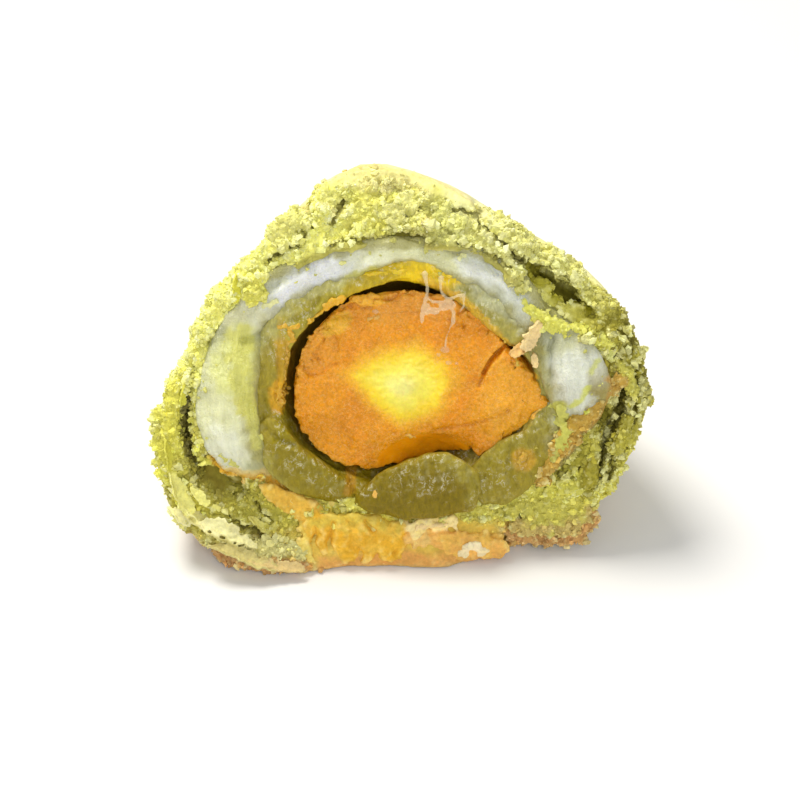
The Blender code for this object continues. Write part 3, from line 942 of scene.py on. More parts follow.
# %% Folds and lumps of crust
# In a slab the numbers after the outline are its lift, dome, under, raggedness and seed. In a line of crumbs
# they are how many, the smallest, the largest, the spread, how far forward and, where given, the level.
LUMPS = [
    # the outer leaf on the left
    (slab([(-24.4, 20.4), (-25.6, 18.6), (-26.6, 15.6), (-27.0, 13.0), (-26.3, 10.4), (-25.2, 8.6),
           (-24.0, 10.0), (-24.3, 12.4), (-24.9, 15.0), (-24.6, 17.8)], 0.0, 1.2, 1.5, 0.16, 1, detail=5),
     "#E0D95A"),
    (crumb_line([(-24.4, 20.6), (-25.8, 17.0), (-26.8, 13.6), (-26.2, 10.4), (-25.2, 8.4)],
                70, 0.6, 1.7, 0.4), "#E4DE62"),
    (crumb_line([(-22.7, 17.8), (-23.0, 15.0), (-22.6, 12.5), (-21.4, 11.6)], 44, 0.4, 1.1, 0.22), "#DBD65E"),
    (crumb_line([(-21.5, 12.3), (-19.7, 11.0), (-17.4, 9.7), (-15.9, 9.3), (-13.4, 8.4), (-11.1, 7.6)],
                90, 0.5, 0.95, 0.2, 0.2), "#E2AE30"),
    (slab([(-25.4, 9.2), (-26.0, 7.4), (-24.4, 6.2), (-22.2, 5.6), (-21.8, 6.8), (-23.6, 8.2)],
          0.3, 0.9, 1.0, 0.14, 2), "#DED65A"),
    # clods at the notch, the upright one on the shoulder, and the big pale clod under the peak
    (crumb_line([(-13.4, 35.2), (-12.4, 35.9), (-11.6, 36.4)], 60, 0.5, 1.3, 0.45, 0.5), "#E6E180"),
    (crumb_line([(-16.6, 29.4), (-15.2, 30.4)], 55, 0.5, 1.3, 0.5, 0.4), "#E8E26A"),
    (crumb_line([(-2.2, 36.9), (-0.4, 37.5), (1.4, 37.1)], 50, 0.6, 1.5, 0.4, 0.2), "#ECE78E"),
    (crumb_line([(4.0, 36.8), (6.4, 36.2)], 40, 0.5, 1.2, 0.4, 0.2), "#DAD87C"),
    (crumb_line([(-8.6, 37.2), (-7.2, 38.2)], 40, 0.5, 1.2, 0.4, 0.3), "#E2DE7C"),
    # the crumbs of the slit's lower lip
    (slab([(13.5, 28.7), (15.4, 27.4), (17.8, 26.5), (20.6, 26.0), (23.6, 25.2), (24.4, 23.8), (22.6, 23.2),
           (20.0, 23.9), (17.0, 24.8), (14.6, 26.4)], 0.1, 0.8, 1.4, 0.1, 15, detail=5), "#E8E468"),
    (crumb_line([(14.0, 28.2), (15.6, 26.9), (17.8, 25.9), (20.4, 25.4), (23.8, 24.4)],
                120, 0.5, 1.1, 0.25, 0.1), "#EEEA72"),
    (crumb_line([(14.6, 27.3), (17.2, 25.4), (20.2, 24.6), (23.4, 22.8)], 70, 0.3, 0.8, 0.35), "#DADB78"),
    # ledges of the right side
    (slab([(23.6, 23.0), (25.6, 21.6), (26.6, 18.6), (25.6, 18.2), (24.2, 20.6)], 0.1, 1.0, 1.0, 0.16, 9),
     "#D3CC5A"),
    (slab([(24.6, 15.8), (26.0, 16.6), (25.8, 13.4), (24.2, 11.4), (23.8, 13.4)], 0.1, 1.1, 1.0, 0.16, 10),
     "#B9B040"),
    (slab([(21.2, 11.6), (22.4, 11.6), (22.0, 8.4), (20.6, 6.8), (20.0, 8.6)], 0.1, 1.0, 1.0, 0.16, 11),
     "#A89E34"),
    # the ragged brown band beside the right lobe
    (slab([(24.4, 19.8), (22.6, 18.4), (20.6, 16.2), (18.8, 13.8), (17.2, 11.4), (15.2, 9.0), (14.8, 9.6),
           (16.2, 12.2), (17.8, 14.9), (19.6, 17.4), (21.6, 19.6), (23.4, 21.0)],
          0.5, 0.6, 0.5, 0.16, 12, detail=5), "#C09A38"),
    (crumb_line([(24.4, 20.4), (21.8, 18.2), (20.0, 15.8), (18.2, 13.2), (16.6, 10.9), (15.2, 9.0)],
                230, 0.5, 1.1, 0.45, 0.8), "#CBA548"),
    # the rough brown edge of the base at the right, and the crumbs over it
    (slab([(12.2, 5.2), (15.0, 6.4), (18.4, 7.2), (20.6, 8.2), (21.6, 7.2), (21.6, 3.9), (20.8, 2.6),
           (18.6, 1.8), (16.4, 1.5), (13.6, 1.7), (12.0, 2.6)], -0.7, 1.3, 3.2, 0.12, 13, detail=5),
     "#BAAE58"),
    (crumb_line([(12.6, 2.7), (14.5, 2.1), (17.0, 1.7), (19.4, 2.0), (21.0, 2.8), (21.7, 4.4), (21.5, 6.0)],
                200, 0.4, 1.1, 0.28, 0.1, -1.0), "#CEA060"),
    (crumb_line([(13.2, 3.8), (16.6, 3.4), (19.6, 4.0), (21.0, 5.2)], 150, 0.4, 1.1, 0.5, 0.1, -0.4),
     "#CBB468"),
    (crumb_line([(13.0, 5.4), (16.4, 5.2), (19.4, 5.8), (21.4, 7.2)], 190, 0.4, 1.2, 0.7, 0.1, -0.3),
     "#CEC65A"),
    (crumb_line([(12.4, 6.6), (15.6, 6.9), (18.6, 7.8), (21.0, 9.4)], 110, 0.4, 1.1, 0.5, 0.3), "#D8D25C"),
    # the brown edge of the base at the left, and the pale crumbs over it
    (crumb_line([(-20.5, 1.6), (-18.0, 0.9), (-15.0, 0.7), (-11.6, 0.8)], 90, 0.7, 1.5, 0.3), "#C6965C"),
    (crumb_line([(-20.5, 3.6), (-17.0, 2.6), (-13.5, 2.2), (-11.0, 2.6)], 90, 0.5, 1.4, 0.5), "#D2CA80"),
    # the pale crumbs along the foot of the filling
    (crumb_line([(-11.0, 7.0), (-7.0, 6.5), (-3.4, 6.3), (0.4, 6.0), (3.5, 6.1), (7.0, 5.7), (10.6, 5.8)],
                170, 0.5, 1.5, 0.42, 0.2), "#DCD35E"),
]
lumps, paint = joined("crust_lumps", LUMPS, voxel=0.15)
finish_crumbs(lumps, paint, relief=0.19, coarse=1.0, seed=51)

# %% [markdown]
# ## Mochi skin
# Mochi is glutinous rice dough: white, soft, elastic and a little see-through. Light goes deep into it,
# so it has a strong subsurface setting, and its moist surface has a soft shine. Torn, it draws out in
# fine threads along its length. They follow the layer round the yolk, so they are laid out on an
# attribute that says how far along and across the layer each point is.

# %% Mochi material
mochi_stuff, tree, shader = new_material(
    "steamed_rice_mochi",
    {
        "Roughness": 0.42, "IOR": 1.42, "Subsurface Weight": 0.6, "Subsurface Scale": 0.0016,
        "Coat Weight": 0.3, "Coat Roughness": 0.2,
    },
)
shader.inputs["Subsurface Radius"].default_value = (1.0, 0.95, 0.7)
flow = add(tree, "Attribute", {"attribute_name": "flow"}).outputs["Color"]
paint = add(tree, "Attribute", {"attribute_name": "paint"}).outputs["Color"]
drawn = add(tree, "Mapping", {"Scale": (420.0, 1900.0, 900.0)}, {"Vector": flow})
threads = add(tree, "TexNoise", {"Scale": 1.0, "Detail": 4.0, "Roughness": 0.6}, {"Vector": drawn})
where = add(tree, "TexCoord").outputs["Object"]
grit = add(tree, "TexNoise", {"Scale": 1000 / 0.45, "Detail": 4.0, "Roughness": 0.6}, {"Vector": where})
streak = add(tree, "MapRange", {1: 0.3, 2: 0.7, 3: 0.95, 4: 1.14}, {0: threads})
colour = add(tree, "VectorMath", {"operation": "SCALE"}, {0: paint, "Scale": streak})
tree.links.new(colour.outputs[0], shader.inputs["Base Color"])
both = add(tree, "Math", {"operation": "MULTIPLY_ADD", 1: 2.2}, {0: grit, 2: threads})
bump = add(tree, "Bump", {"Strength": 0.9, "Distance": 0.00028}, {"Height": both})
tree.links.new(bump.outputs[0], shader.inputs["Normal"])
tree.links.new(bump.outputs[0], shader.inputs["Coat Normal"])
print("mochi material:", len(tree.nodes), "nodes")

# %% Shape of the mochi
mochi = layer_copy("mochi_skin", "mochi_layer", grow=0.34, voxel=0.28, rounds=3)


def layer_zones(thing, inner_edge, outer_edge):
    """Like the crust's zones, for a layer between two other outlines."""
    points = points_of(thing)
    out = directions_of(thing)
    hours, reach = clock(points)
    inner, outer = inner_edge(hours), outer_edge(hours)
    torn = eased((out @ TEAR_FACES - 0.1) / 0.3) * eased((4.5 - behind_tear(points)) / 1.5)
    return points, out, hours, (reach - inner) / (outer - inner), evened(thing, torn, 3)


def creased(moved, points, torn, creases):
    """Presses soft creases into the torn face: (line, width, depth) of each."""
    for line, width, depth in creases:
        groove = np.exp(-((off_line(points, line) / (width / 2)) ** 2))
        moved = moved + inward * (depth * torn * groove)[:, None]
    return moved


# Each crease: its line of (x, z) places, its width and its depth.
MOCHI_CREASES = [
    ([(16.6, 25.0), (16.7, 22.0), (16.8, 18.6), (16.4, 16.4)], 0.6, 0.7),
    ([(-14.6, 26.4), (-16.2, 24.8), (-17.4, 24.6)], 0.8, 0.7),
    ([(-15.4, 29.8), (-10.6, 32.4), (-5.0, 34.0)], 0.7, 0.4),
    ([(5.0, 33.4), (9.6, 32.0), (13.0, 29.6)], 0.6, 0.4),
    ([(-18.6, 21.4), (-17.2, 18.8), (-16.4, 15.6)], 1.2, 0.35),
]
points, out, _, share, torn = layer_zones(mochi, paste_edge, mochi_edge)
drawn = laid_out(points) * np.array([0.3, 1.2, 0.8])
shift = 0.45 * lumpy(points, 4.5, 31, 2) * torn + 0.20 * lumpy(drawn, 1.0, 32) * torn
shift += 0.14 * lumpy(points, 1.3, 33, 3) * torn
moved = points + out * shift[:, None]
ripple = 0.5 * lumpy(points, 2.4, 34, 2) * torn
moved += outwards(points) * ripple[:, None] + flared(points, share, inner=0.7, outer=0.5)
moved = creased(moved, points, torn, MOCHI_CREASES)
# The thick lobes swell out of the tear: (x, z, half width, half height, by).
MOCHI_SWELLS = [
    (-19.4, 18.4, 3.2, 5.6, 1.1), (-17.4, 13.0, 3.0, 3.2, 0.8),
    (20.0, 21.0, 3.2, 3.8, 1.2), (-9.0, 31.8, 6.0, 1.8, 0.4),
]
for x, z, half_x, half_z, by in MOCHI_SWELLS:
    swell = np.exp(-(((points[:, 0] - x) / half_x) ** 2 + ((points[:, 2] - z) / half_z) ** 2))
    moved += TEAR_FACES * (by * swell * torn)[:, None]
move_points(mochi, moved, lowest=0.3)
print("mochi layer:", len(points), "points")

# %% Paint the mochi
points, _, hours, share, _ = layer_zones(mochi, paste_edge, mochi_edge)
paint = painted(
    np.tile(linear("#CACBA2"), (len(points), 1)),
    ("#B4B382", eased(0.45 + 1.2 * lumpy(points, 3.4, 35)) * 0.55),
    ("#C2B650", between(hours, 4.2, 7.9, 0.3)),
)
MOCHI_PATCHES = [
    (-19.6, 17.4, 3.6, 7.5, -12, "#F1F1BC", 0.9),
    (-19.8, 13.6, 2.6, 3.4, -20, "#EBECD2", 0.8),
    (-16.6, 27.6, 2.8, 2.6, 0, "#E2DFB0", 0.85),
    (-9.0, 31.0, 6.8, 2.6, 29, "#FAFDF6", 0.95),
    (-2.0, 33.2, 4.6, 1.6, 8, "#F8F7CC", 0.85),
    (4.0, 32.3, 5.0, 1.8, -8, "#F0EFBA", 0.85),
    (10.6, 30.4, 5.8, 2.1, -42, "#F2F6E8", 0.9),
    (12.6, 27.0, 3.4, 1.2, -50, "#B6B78C", 0.6),
    (15.6, 24.6, 1.6, 3.6, -10, "#A8A878", 0.8),
    (19.6, 21.2, 3.5, 3.9, 0, "#E4E6D4", 0.95),
    (-17.9, 25.0, 1.7, 1.8, 0, "#E9E9A8", 0.8),
    (-18.2, 22.4, 3.0, 2.8, 0, "#E2E28A", 0.75),
]
paint = patched(paint, points, MOCHI_PATCHES, ragged=0.35, size=1.6, soft=0.8)
# Near the paste the mochi is thin, and the paste shows through it. Under the crust's rim it is thin as well
# and takes the crust's colour; along the top that darker olive is partly painted shade under the overhanging
# rim.
top_rim = eased((share - 0.78 + 0.2 * lumpy(points, 1.6, 37)) / 0.2) * between(hours, 10.3, 2.2, 0.4)
low_rim = eased((share - 0.7 + 0.2 * lumpy(points, 1.6, 38)) / 0.2) * between(hours, 2.9, 4.8, 0.3)
paint = painted(
    paint,
    ("#ADA552", eased((0.34 - share + 0.18 * lumpy(points, 1.6, 36)) / 0.36) * 0.75),
    ("#A59E46", top_rim * 0.7),
    ("#A39446", low_rim * 0.95),
)
# Smears of oily paste: (line, width, colour, strength).
MOCHI_SMEARS = [
    ([(-17.6, 25.4), (-17.8, 21.6), (-17.0, 18.6)], 2.4, "#DFDC6A", 0.7),
    ([(-17.4, 18.8), (-16.4, 16.4), (-16.2, 14.4)], 1.2, "#DFDC6E", 0.6),
    ([(-20.6, 23.0), (-19.6, 20.6)], 1.3, "#E9EA9A", 0.7),
    ([(-21.6, 12.0), (-19.4, 10.6), (-16.8, 9.6), (-14.2, 8.8), (-11.2, 7.4)], 1.7, "#E0A522", 0.95),
    ([(-20.8, 11.8), (-18.0, 10.9), (-15.0, 10.2)], 0.9, "#EACD7C", 0.7),
    ([(-2.6, 31.2), (1.0, 31.6), (3.6, 31.4)], 1.3, "#E2C624", 0.9),
    ([(5.0, 30.6), (8.0, 28.4), (10.6, 25.8), (13.2, 22.4)], 0.9, "#DDBE3A", 0.8),
    ([(-6.0, 30.6), (-3.0, 31.6)], 1.1, "#D2CC58", 0.7),
    ([(18.8, 18.2), (20.0, 19.4), (20.6, 20.8)], 0.7, "#DDE05A", 0.8),
    ([(21.0, 22.6), (21.8, 23.4)], 0.7, "#DDE05A", 0.6),
    ([(17.8, 17.6), (18.2, 15.4), (17.4, 13.0)], 1.8, "#CFCB42", 0.8),
    ([(23.0, 24.0), (23.8, 21.0), (22.8, 17.8), (20.2, 14.4), (17.0, 11.2)], 1.4, "#C99A3E", 0.85),
]
for line, width, colour, strength in MOCHI_SMEARS:
    paint = painted(paint, (colour, band(points, line, width, ragged=0.8) * strength))
# Behind the hollow in the crust it is green with crust.
deep = eased((behind_tear(points) - 1.0) / 1.2)
paint = painted(paint, ("#A89F2A", within(from_front(points), SLIT, 1.0, 0.2) * deep * 0.9))
store(mochi, "paint", paint)
store(mochi, "flow", laid_out(points) * MM)
mochi.data.materials.append(mochi_stuff)
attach(mochi, "root")
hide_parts("mochi_skin")
print("mochi:", triangles(mochi), "triangles")

# %% [markdown]
# ## Bean paste
# Sweet bean paste coloured with green tea: smooth, dense and moist, like soft clay. It tears into rounded
# rolls with a satin shine, and fine wet threads glint on it. Near the yolk it took up orange oil.

# %% Paste material
paste_stuff, tree, shader = new_material(
    "sweet_bean_paste",
    {
        "Roughness": 0.4, "Specular IOR Level": 0.12, "Subsurface Weight": 0.3, "Subsurface Scale": 0.0014,
        "Coat Weight": 0.28, "Coat Roughness": 0.12, "Coat IOR": 1.4,
    },
)
shader.inputs["Subsurface Radius"].default_value = (1.0, 0.8, 0.2)
where = add(tree, "TexCoord").outputs["Object"]
paint = add(tree, "Attribute", {"attribute_name": "paint"}).outputs["Color"]
turned = add(
    tree, "Mapping", {"Rotation": (0.0, math.radians(35), 0.0), "Scale": (2200.0, 1400.0, 1000.0)},
    {"Vector": where},
)
specks = add(tree, "TexNoise", {"Scale": 1.0, "Detail": 3.0, "Roughness": 0.65}, {"Vector": turned})
broad = add(tree, "TexNoise", {"Scale": 1000 / 1.8, "Detail": 3.0}, {"Vector": where})
pale = add(tree, "MapRange", {1: 0.32, 2: 0.74, 3: 0.8, 4: 1.24}, {0: specks})
colour = add(tree, "VectorMath", {"operation": "SCALE"}, {0: paint, "Scale": pale})
# Thin bright lines, where the wet wrinkles catch the light: the places where a noise passes its middle.
wet = add(tree, "Attribute", {"attribute_name": "wet"}).outputs["Fac"]
wavy = add(
    tree, "TexNoise", {"Scale": 1000 / 0.8, "Detail": 4.0, "Roughness": 0.65, "Distortion": 0.5},
    {"Vector": where},
)
off = add(tree, "Math", {"operation": "SUBTRACT", 1: 0.5}, {0: wavy})
off = add(tree, "Math", {"operation": "ABSOLUTE"}, {0: off})
thin = add(tree, "MapRange", {1: 0.0, 2: 0.045, 3: 0.8, 4: 0.0}, {0: off})
some = add(tree, "MapRange", {1: 0.44, 2: 0.56, 3: 0.0, 4: 1.0}, {0: broad})
thin = add(tree, "Math", {"operation": "MULTIPLY"}, {0: thin, 1: some})
short = add(tree, "MapRange", {1: 0.46, 2: 0.56, 3: 0.0, 4: 1.0}, {0: specks})
thin = add(tree, "Math", {"operation": "MULTIPLY"}, {0: thin, 1: short})
thin = add(tree, "Math", {"operation": "MULTIPLY"}, {0: thin, 1: wet})
shiny = add(tree, "Mix", {"data_type": "RGBA", 7: (*linear("#E6E4CC"), 1)}, {0: thin, 6: colour})
tree.links.new(shiny.outputs[2], shader.inputs["Base Color"])
both = add(tree, "Math", {"operation": "MULTIPLY_ADD", 1: 1.0}, {0: broad, 2: specks})
bump = add(tree, "Bump", {"Strength": 0.9, "Distance": 0.0003}, {"Height": both})
tree.links.new(bump.outputs[0], shader.inputs["Normal"])
tree.links.new(bump.outputs[0], shader.inputs["Coat Normal"])

# %% Shape of the paste
paste = layer_copy("bean_paste", "paste_layer", grow=0.3, voxel=0.28, rounds=3)
points, out, hours, share, torn = layer_zones(paste, yolk_edge, paste_edge)
drawn = laid_out(points) * np.array([0.3, 1.2, 0.8])
shift = 0.35 * lumpy(points, 3.6, 41, 2) * torn + 0.10 * lumpy(drawn, 1.0, 42) * torn
shift += 0.10 * lumpy(points, 1.1, 43, 3) * torn
moved = points + out * shift[:, None]
moved += outwards(points) * (0.35 * lumpy(points, 2.2, 44, 2) * torn)[:, None]
moved += flared(points, share, outer=0.3)
# High on the right the paste closes up to the yolk.
closes = between(hours, 0.3, 3.3, 0.5) * eased((0.5 - share) / 0.4) * eased((4 - behind_tear(points)) / 3)
moved -= outwards(points) * (0.9 * closes)[:, None]
move_points(paste, moved)
# The tear pushed the paste up into a roll on the left, a flap over the yolk's foot, and a slope on the right.
PASTE_LUMPS = [
    slab([(-16.2, 15.2), (-14.6, 16.4), (-13.0, 15.4), (-11.3, 13.1), (-8.2, 10.8), (-5.4, 8.9), (-4.6, 7.6),
          (-6.4, 6.7), (-11.1, 7.6), (-14.5, 10.3), (-16.2, 12.6)], 0.0, 1.5, 1.5, 0.04, 21, 0.6, detail=5),
    slab([(-5.4, 6.9), (-4.4, 8.7), (-2.4, 10.4), (0.2, 11.6), (2.8, 12.5), (5.4, 12.7), (7.2, 11.9),
          (8.6, 10.6), (8.8, 8.3), (8.0, 6.3), (4.4, 5.4), (0.0, 5.2), (-3.4, 5.8)],
         0.5, 1.3, 1.6, 0.07, 22, 0.5, (0.03, -0.05), 5),
    slab([(7.4, 9.8), (9.3, 12.2), (11.6, 13.9), (13.8, 14.8), (15.2, 16.6), (16.8, 15.4), (17.2, 13.0),
          (16.0, 10.4), (14.4, 8.0), (11.8, 6.4), (9.2, 6.2)], 0.0, 1.0, 1.2, 0.05, 23, 0.5, detail=5),
    slab([(-15.8, 24.2), (-14.2, 25.8), (-12.4, 25.4), (-12.2, 22.6), (-12.9, 19.6), (-14.4, 17.2),
          (-15.8, 19.0)], 0.0, 0.6, 1.2, 0.06, 24, 0.5),
]
add_and_fuse(paste, together(PASTE_LUMPS), voxel=0.24, rounds=2)
PASTE_CREASES = [
    ([(-5.6, 10.2), (-5.3, 8.4), (-4.4, 6.6)], 0.6, 0.6),
    ([(7.8, 11.4), (8.7, 9.6), (8.9, 8.4)], 0.45, 0.35),
    ([(-15.4, 15.8), (-13.4, 14.6), (-11.6, 14.0)], 0.6, 0.5),
    ([(-12.0, 27.0), (-10.0, 27.6), (-9.0, 29.0)], 0.7, 0.4),
    ([(-14.9, 24.6), (-13.6, 22.0), (-13.9, 18.6)], 0.6, 0.4),
    ([(12.2, 13.6), (12.0, 11.4), (13.2, 9.0)], 0.6, 0.3),
]
points, out, _, _, torn = layer_zones(paste, yolk_edge, paste_edge)
wrinkles = -np.abs(lumpy(points * np.array([1.0, 1.0, 1.5]), 1.5, 48, 2))
shift = (0.16 * lumpy(points, 2.6, 45, 2) + 0.10 * lumpy(points, 0.9, 46, 3) + 0.24 * wrinkles) * torn
moved = creased(points + out * shift[:, None], points, torn, PASTE_CREASES)
move_points(paste, moved, lowest=0.5)
print("paste layer:", len(points), "points")

# %% Paint the paste
points, _, hours, share, torn = layer_zones(paste, yolk_edge, paste_edge)
film = share - 0.62 + 0.28 * lumpy(points, 1.3, 47)
paint = painted(
    np.tile(linear("#948410"), (len(points), 1)),
    ("#C2B442", between(hours, 9.0, 11.2, 0.6) * 0.8),
    ("#8A7814", between(hours, 5.0, 7.2, 0.6) * 0.8),
    ("#9E9034", between(hours, 3.2, 4.8, 0.5) * 0.8),
    ("#B0A856", between(hours, 0.9, 3.2, 0.4) * 0.9),
    # The mochi is drawn out over the paste's rim in a thin pale film.
    ("#C4C49A", eased(film / 0.35) * between(hours, 0.2, 3.4, 0.4) * 0.8),
    ("#C6C48C", eased(film / 0.3) * between(hours, 9.6, 11.2, 0.4) * 0.5),
    ("#B5AE60", eased(film / 0.4) * between(hours, 7.8, 9.6, 0.4) * 0.6),
)
PASTE_PATCHES = [
    (-15.0, 19.0, 1.8, 5.5, -4, "#A89632", 0.8),
    (-10.5, 11.0, 4.5, 2.4, -38, "#95841E", 0.8),
    (1.6, 8.6, 6.4, 3.4, 0, "#837006", 0.9),
    (12.6, 10.8, 4.0, 2.4, 30, "#9C8A1E", 0.7),
    (2.5, 31.0, 6.0, 1.4, 0, "#F4D020", 0.95),
    (-3.4, 29.9, 3.6, 1.3, 22, "#C8AC24", 0.85),
    (-9.4, 27.6, 3.0, 1.2, 36, "#A99A30", 0.8),
    (-12.9, 21.6, 0.9, 4.6, 4, "#C79B26", 0.85),
    (-13.4, 18.2, 1.2, 1.9, 10, "#E3AC2A", 0.95),
    (13.6, 12.2, 1.3, 1.3, 0, "#C69A2C", 0.85),
    (-5.6, 9.2, 0.7, 1.0, 0, "#B98A22", 0.8),
]
paint = patched(paint, points, PASTE_PATCHES, ragged=0.35, size=1.4, soft=0.5)
# The oily rim beside the yolk, high on the right.
OILY_RIM = [(3.0, 30.2), (6.4, 28.6), (9.0, 26.4), (11.2, 24.0), (13.0, 21.8), (14.6, 20.0)]
# Deeper behind the tear the paste is painted browner and darker, as painted shade in the hollow round the
# yolk.
deep = eased((behind_tear(points) - 1.2) / 2.5)
# Glints are painted on the upper slopes, which face the light, and in these ovals: (x, z, half width, half
# height, turn).
GLINT_OVALS = [
    (-13.2, 13.6, 3.6, 1.9, -40), (-8.6, 9.6, 3.4, 1.2, -38), (3.4, 11.2, 5.6, 1.5, 12),
    (10.8, 10.2, 3.6, 2.4, 40), (8.6, 28.2, 4.2, 1.6, -40), (-13.6, 24.6, 2.0, 2.4, 30),
    (-10.6, 27.8, 3.4, 1.6, 34),
]
wet = eased((directions_of(paste)[:, 2] - 0.42) / 0.3) * torn
for x, z, half_x, half_z, turn in GLINT_OVALS:
    wet = np.maximum(wet, 0.8 * torn * oval(points, x, z, half_x, half_z, turn, 0.4, 1.2, 0.9))
paint = painted(
    paint,
    ("#E2B93A", band(points, OILY_RIM, 1.3, 0.6, 1.0) * 0.95),
    ("#94701C", deep * 0.7),
    # pale flecks on the glinting places, painted highlights
    ("#C0BA84", wet * eased((lumpy(points, 0.6, 49, 2) - 0.1) / 0.4) * 0.25),
)
store(paste, "paint", paint)
store(paste, "wet", wet)
paste.data.materials.append(paste_stuff)
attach(paste, "root")
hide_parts("bean_paste")
print("paste:", triangles(paste), "triangles")

# %% [markdown]
# ## Salted egg yolk
# A cured and baked duck egg yolk: dense, grainy and oily. It breaks like firm clay, in flat faces that
# are rough with grains of 0.2 to 0.5 mm, and its oil gives each grain a small glint. Its middle is softer
# and bright yellow.

# %% Yolk material
yolk_stuff, tree, shader = new_material(
    "salted_duck_egg_yolk",
    {
        "Roughness": 0.26, "IOR": 1.45, "Specular IOR Level": 0.4,
        "Subsurface Weight": 0.25, "Subsurface Scale": 0.0012,
    },
)
shader.inputs["Subsurface Radius"].default_value = (1.0, 0.45, 0.08)
where = add(tree, "TexCoord").outputs["Object"]
paint = add(tree, "Attribute", {"attribute_name": "paint"}).outputs["Color"]
coarse = add(tree, "Attribute", {"attribute_name": "coarse"}).outputs["Fac"]
grain = add(tree, "TexNoise", {"Scale": 1000 / 0.34, "Detail": 3.0, "Roughness": 0.55}, {"Vector": where})
clumps = add(tree, "TexNoise", {"Scale": 1000 / 2.2, "Detail": 3.0}, {"Vector": where})
tone = add(tree, "MapRange", {1: 0.3, 2: 0.7, 3: -0.17, 4: 0.14}, {0: grain})
tone = add(tree, "Math", {"operation": "MULTIPLY_ADD", 2: 1.0}, {0: tone, 1: coarse})
wide = add(tree, "MapRange", {1: 0.35, 2: 0.65, 3: 0.93, 4: 1.06}, {0: clumps})
shade = add(tree, "Math", {"operation": "MULTIPLY"}, {0: tone, 1: wide})
colour = add(tree, "VectorMath", {"operation": "SCALE"}, {0: paint, "Scale": shade})
# Thin bright lines between the grains, where the oil catches the light.
wavy = add(
    tree, "TexNoise", {"Scale": 1000 / 0.5, "Detail": 2.0, "Roughness": 0.6, "Distortion": 0.8},
    {"Vector": where},
)
off = add(tree, "Math", {"operation": "SUBTRACT", 1: 0.5}, {0: wavy})
off = add(tree, "Math", {"operation": "ABSOLUTE"}, {0: off})
glint = add(tree, "MapRange", {1: 0.0, 2: 0.022, 3: 0.55, 4: 0.0}, {0: off})
glint = add(tree, "Math", {"operation": "MULTIPLY"}, {0: glint, 1: coarse})
oily = add(tree, "Mix", {"data_type": "RGBA", 7: (*linear("#FFD07C"), 1)}, {0: glint, 6: colour})
tree.links.new(oily.outputs[2], shader.inputs["Base Color"])
strength = add(tree, "Math", {"operation": "MULTIPLY", 1: 0.9}, {0: coarse})
bump = add(tree, "Bump", {"Distance": 0.00024}, {"Height": grain, "Strength": strength})
tree.links.new(bump.outputs[0], shader.inputs["Normal"])

# %% Shape of the yolk
yolk = layer_copy("salted_yolk", "yolk", grow=0.22, voxel=0.2, rounds=2)
# The right side broke off in a face of its own, with a pointed tip; two thin chips lie high on the left.
YOLK_CHIPS = [
    slab([(9.3, 20.9), (10.4, 22.6), (12.0, 23.0), (14.2, 20.9), (16.6, 17.7), (15.1, 16.6), (13.8, 14.8),
          (11.6, 13.7), (10.4, 12.5), (8.8, 11.3), (7.6, 13.4), (8.2, 17.0)],
         -0.5, 0.7, 2.0, 0.02, 31, 0.3, (0.05, 0.0), 5),
    slab([(-6.0, 28.0), (-5.4, 29.0), (-2.2, 29.1), (-1.6, 28.0), (-3.4, 27.5)], 0.1, 0.5, 0.6, 0.1, 32, 0.4),
    slab([(-9.0, 25.0), (-8.2, 26.4), (-6.4, 26.8), (-5.2, 25.6), (-6.8, 24.8)],
         0.1, 0.45, 0.6, 0.1, 33, 0.4),
]
add_and_fuse(yolk, together(YOLK_CHIPS), voxel=0.19, rounds=1)
# Low in the middle the face broke off in a step. Its smooth wall starts at this line and leans in.
WALL = [(-3.2, 10.0), (-2.4, 12.2), (0.4, 14.0), (3.0, 14.4), (5.6, 13.8), (8.8, 11.8)]


def no_edge(hours):
    """The inner outline of a layer that is solid through."""
    return 0 * hours


def wall_height(points):
    """The height of the wall's line at each point, far down where there is no wall."""
    wall_x, wall_z = np.array(WALL).T
    return np.interp(points[:, 0], wall_x, wall_z, left=-99, right=-99)


YOLK_CRACKS = [
    ([(12.2, 24.6), (11.3, 23.4), (10.0, 22.2), (9.2, 20.9)], 0.5, 1.2),
    ([(9.2, 20.9), (8.7, 19.6)], 0.4, 0.4),
    ([(-8.6, 26.8), (-6.0, 27.4), (-3.2, 27.2)], 0.4, 0.35),
    ([(-3.0, 28.2), (1.0, 28.6), (5.6, 27.6)], 0.5, 0.3),
    ([(-1.0, 26.6), (3.4, 26.8), (7.0, 25.4)], 0.5, 0.2),
    ([(-8.8, 24.2), (-9.6, 22.6), (-8.4, 21.4)], 0.5, 0.25),
    ([(4.0, 14.6), (8.0, 15.4), (12.0, 17.2)], 0.5, 0.3),
]
points, out, _, share, torn = layer_zones(yolk, no_edge, yolk_edge)
below = wall_height(points) + 0.25 * lumpy(points, 1.5, 58, 2) - points[:, 2]
on_wall = eased(below / 0.5) * (torn > 0.02)
face = torn > 0.03
shift = torn * (0.26 * lumpy(points, 4.0, 51, 2) + 0.07 * lumpy(points, 1.2, 52, 2))
grainy = 0.07 * broken(points, 1.6, 56, face) + 0.05 * broken(points, 0.7, 57, face)
grainy += 0.06 * lumpy(points, 0.5, 53, 2, face)
shift += torn * (1 - 0.85 * on_wall) * grainy
shift += (1 - torn) * 0.15 * lumpy(points, 2.0, 54)
moved = points + out * shift[:, None]
for line, width, depth in YOLK_CRACKS:
    moved += inward * (depth * torn * np.clip(1 - off_line(points, line) / (width * 0.7), 0, 1))[:, None]
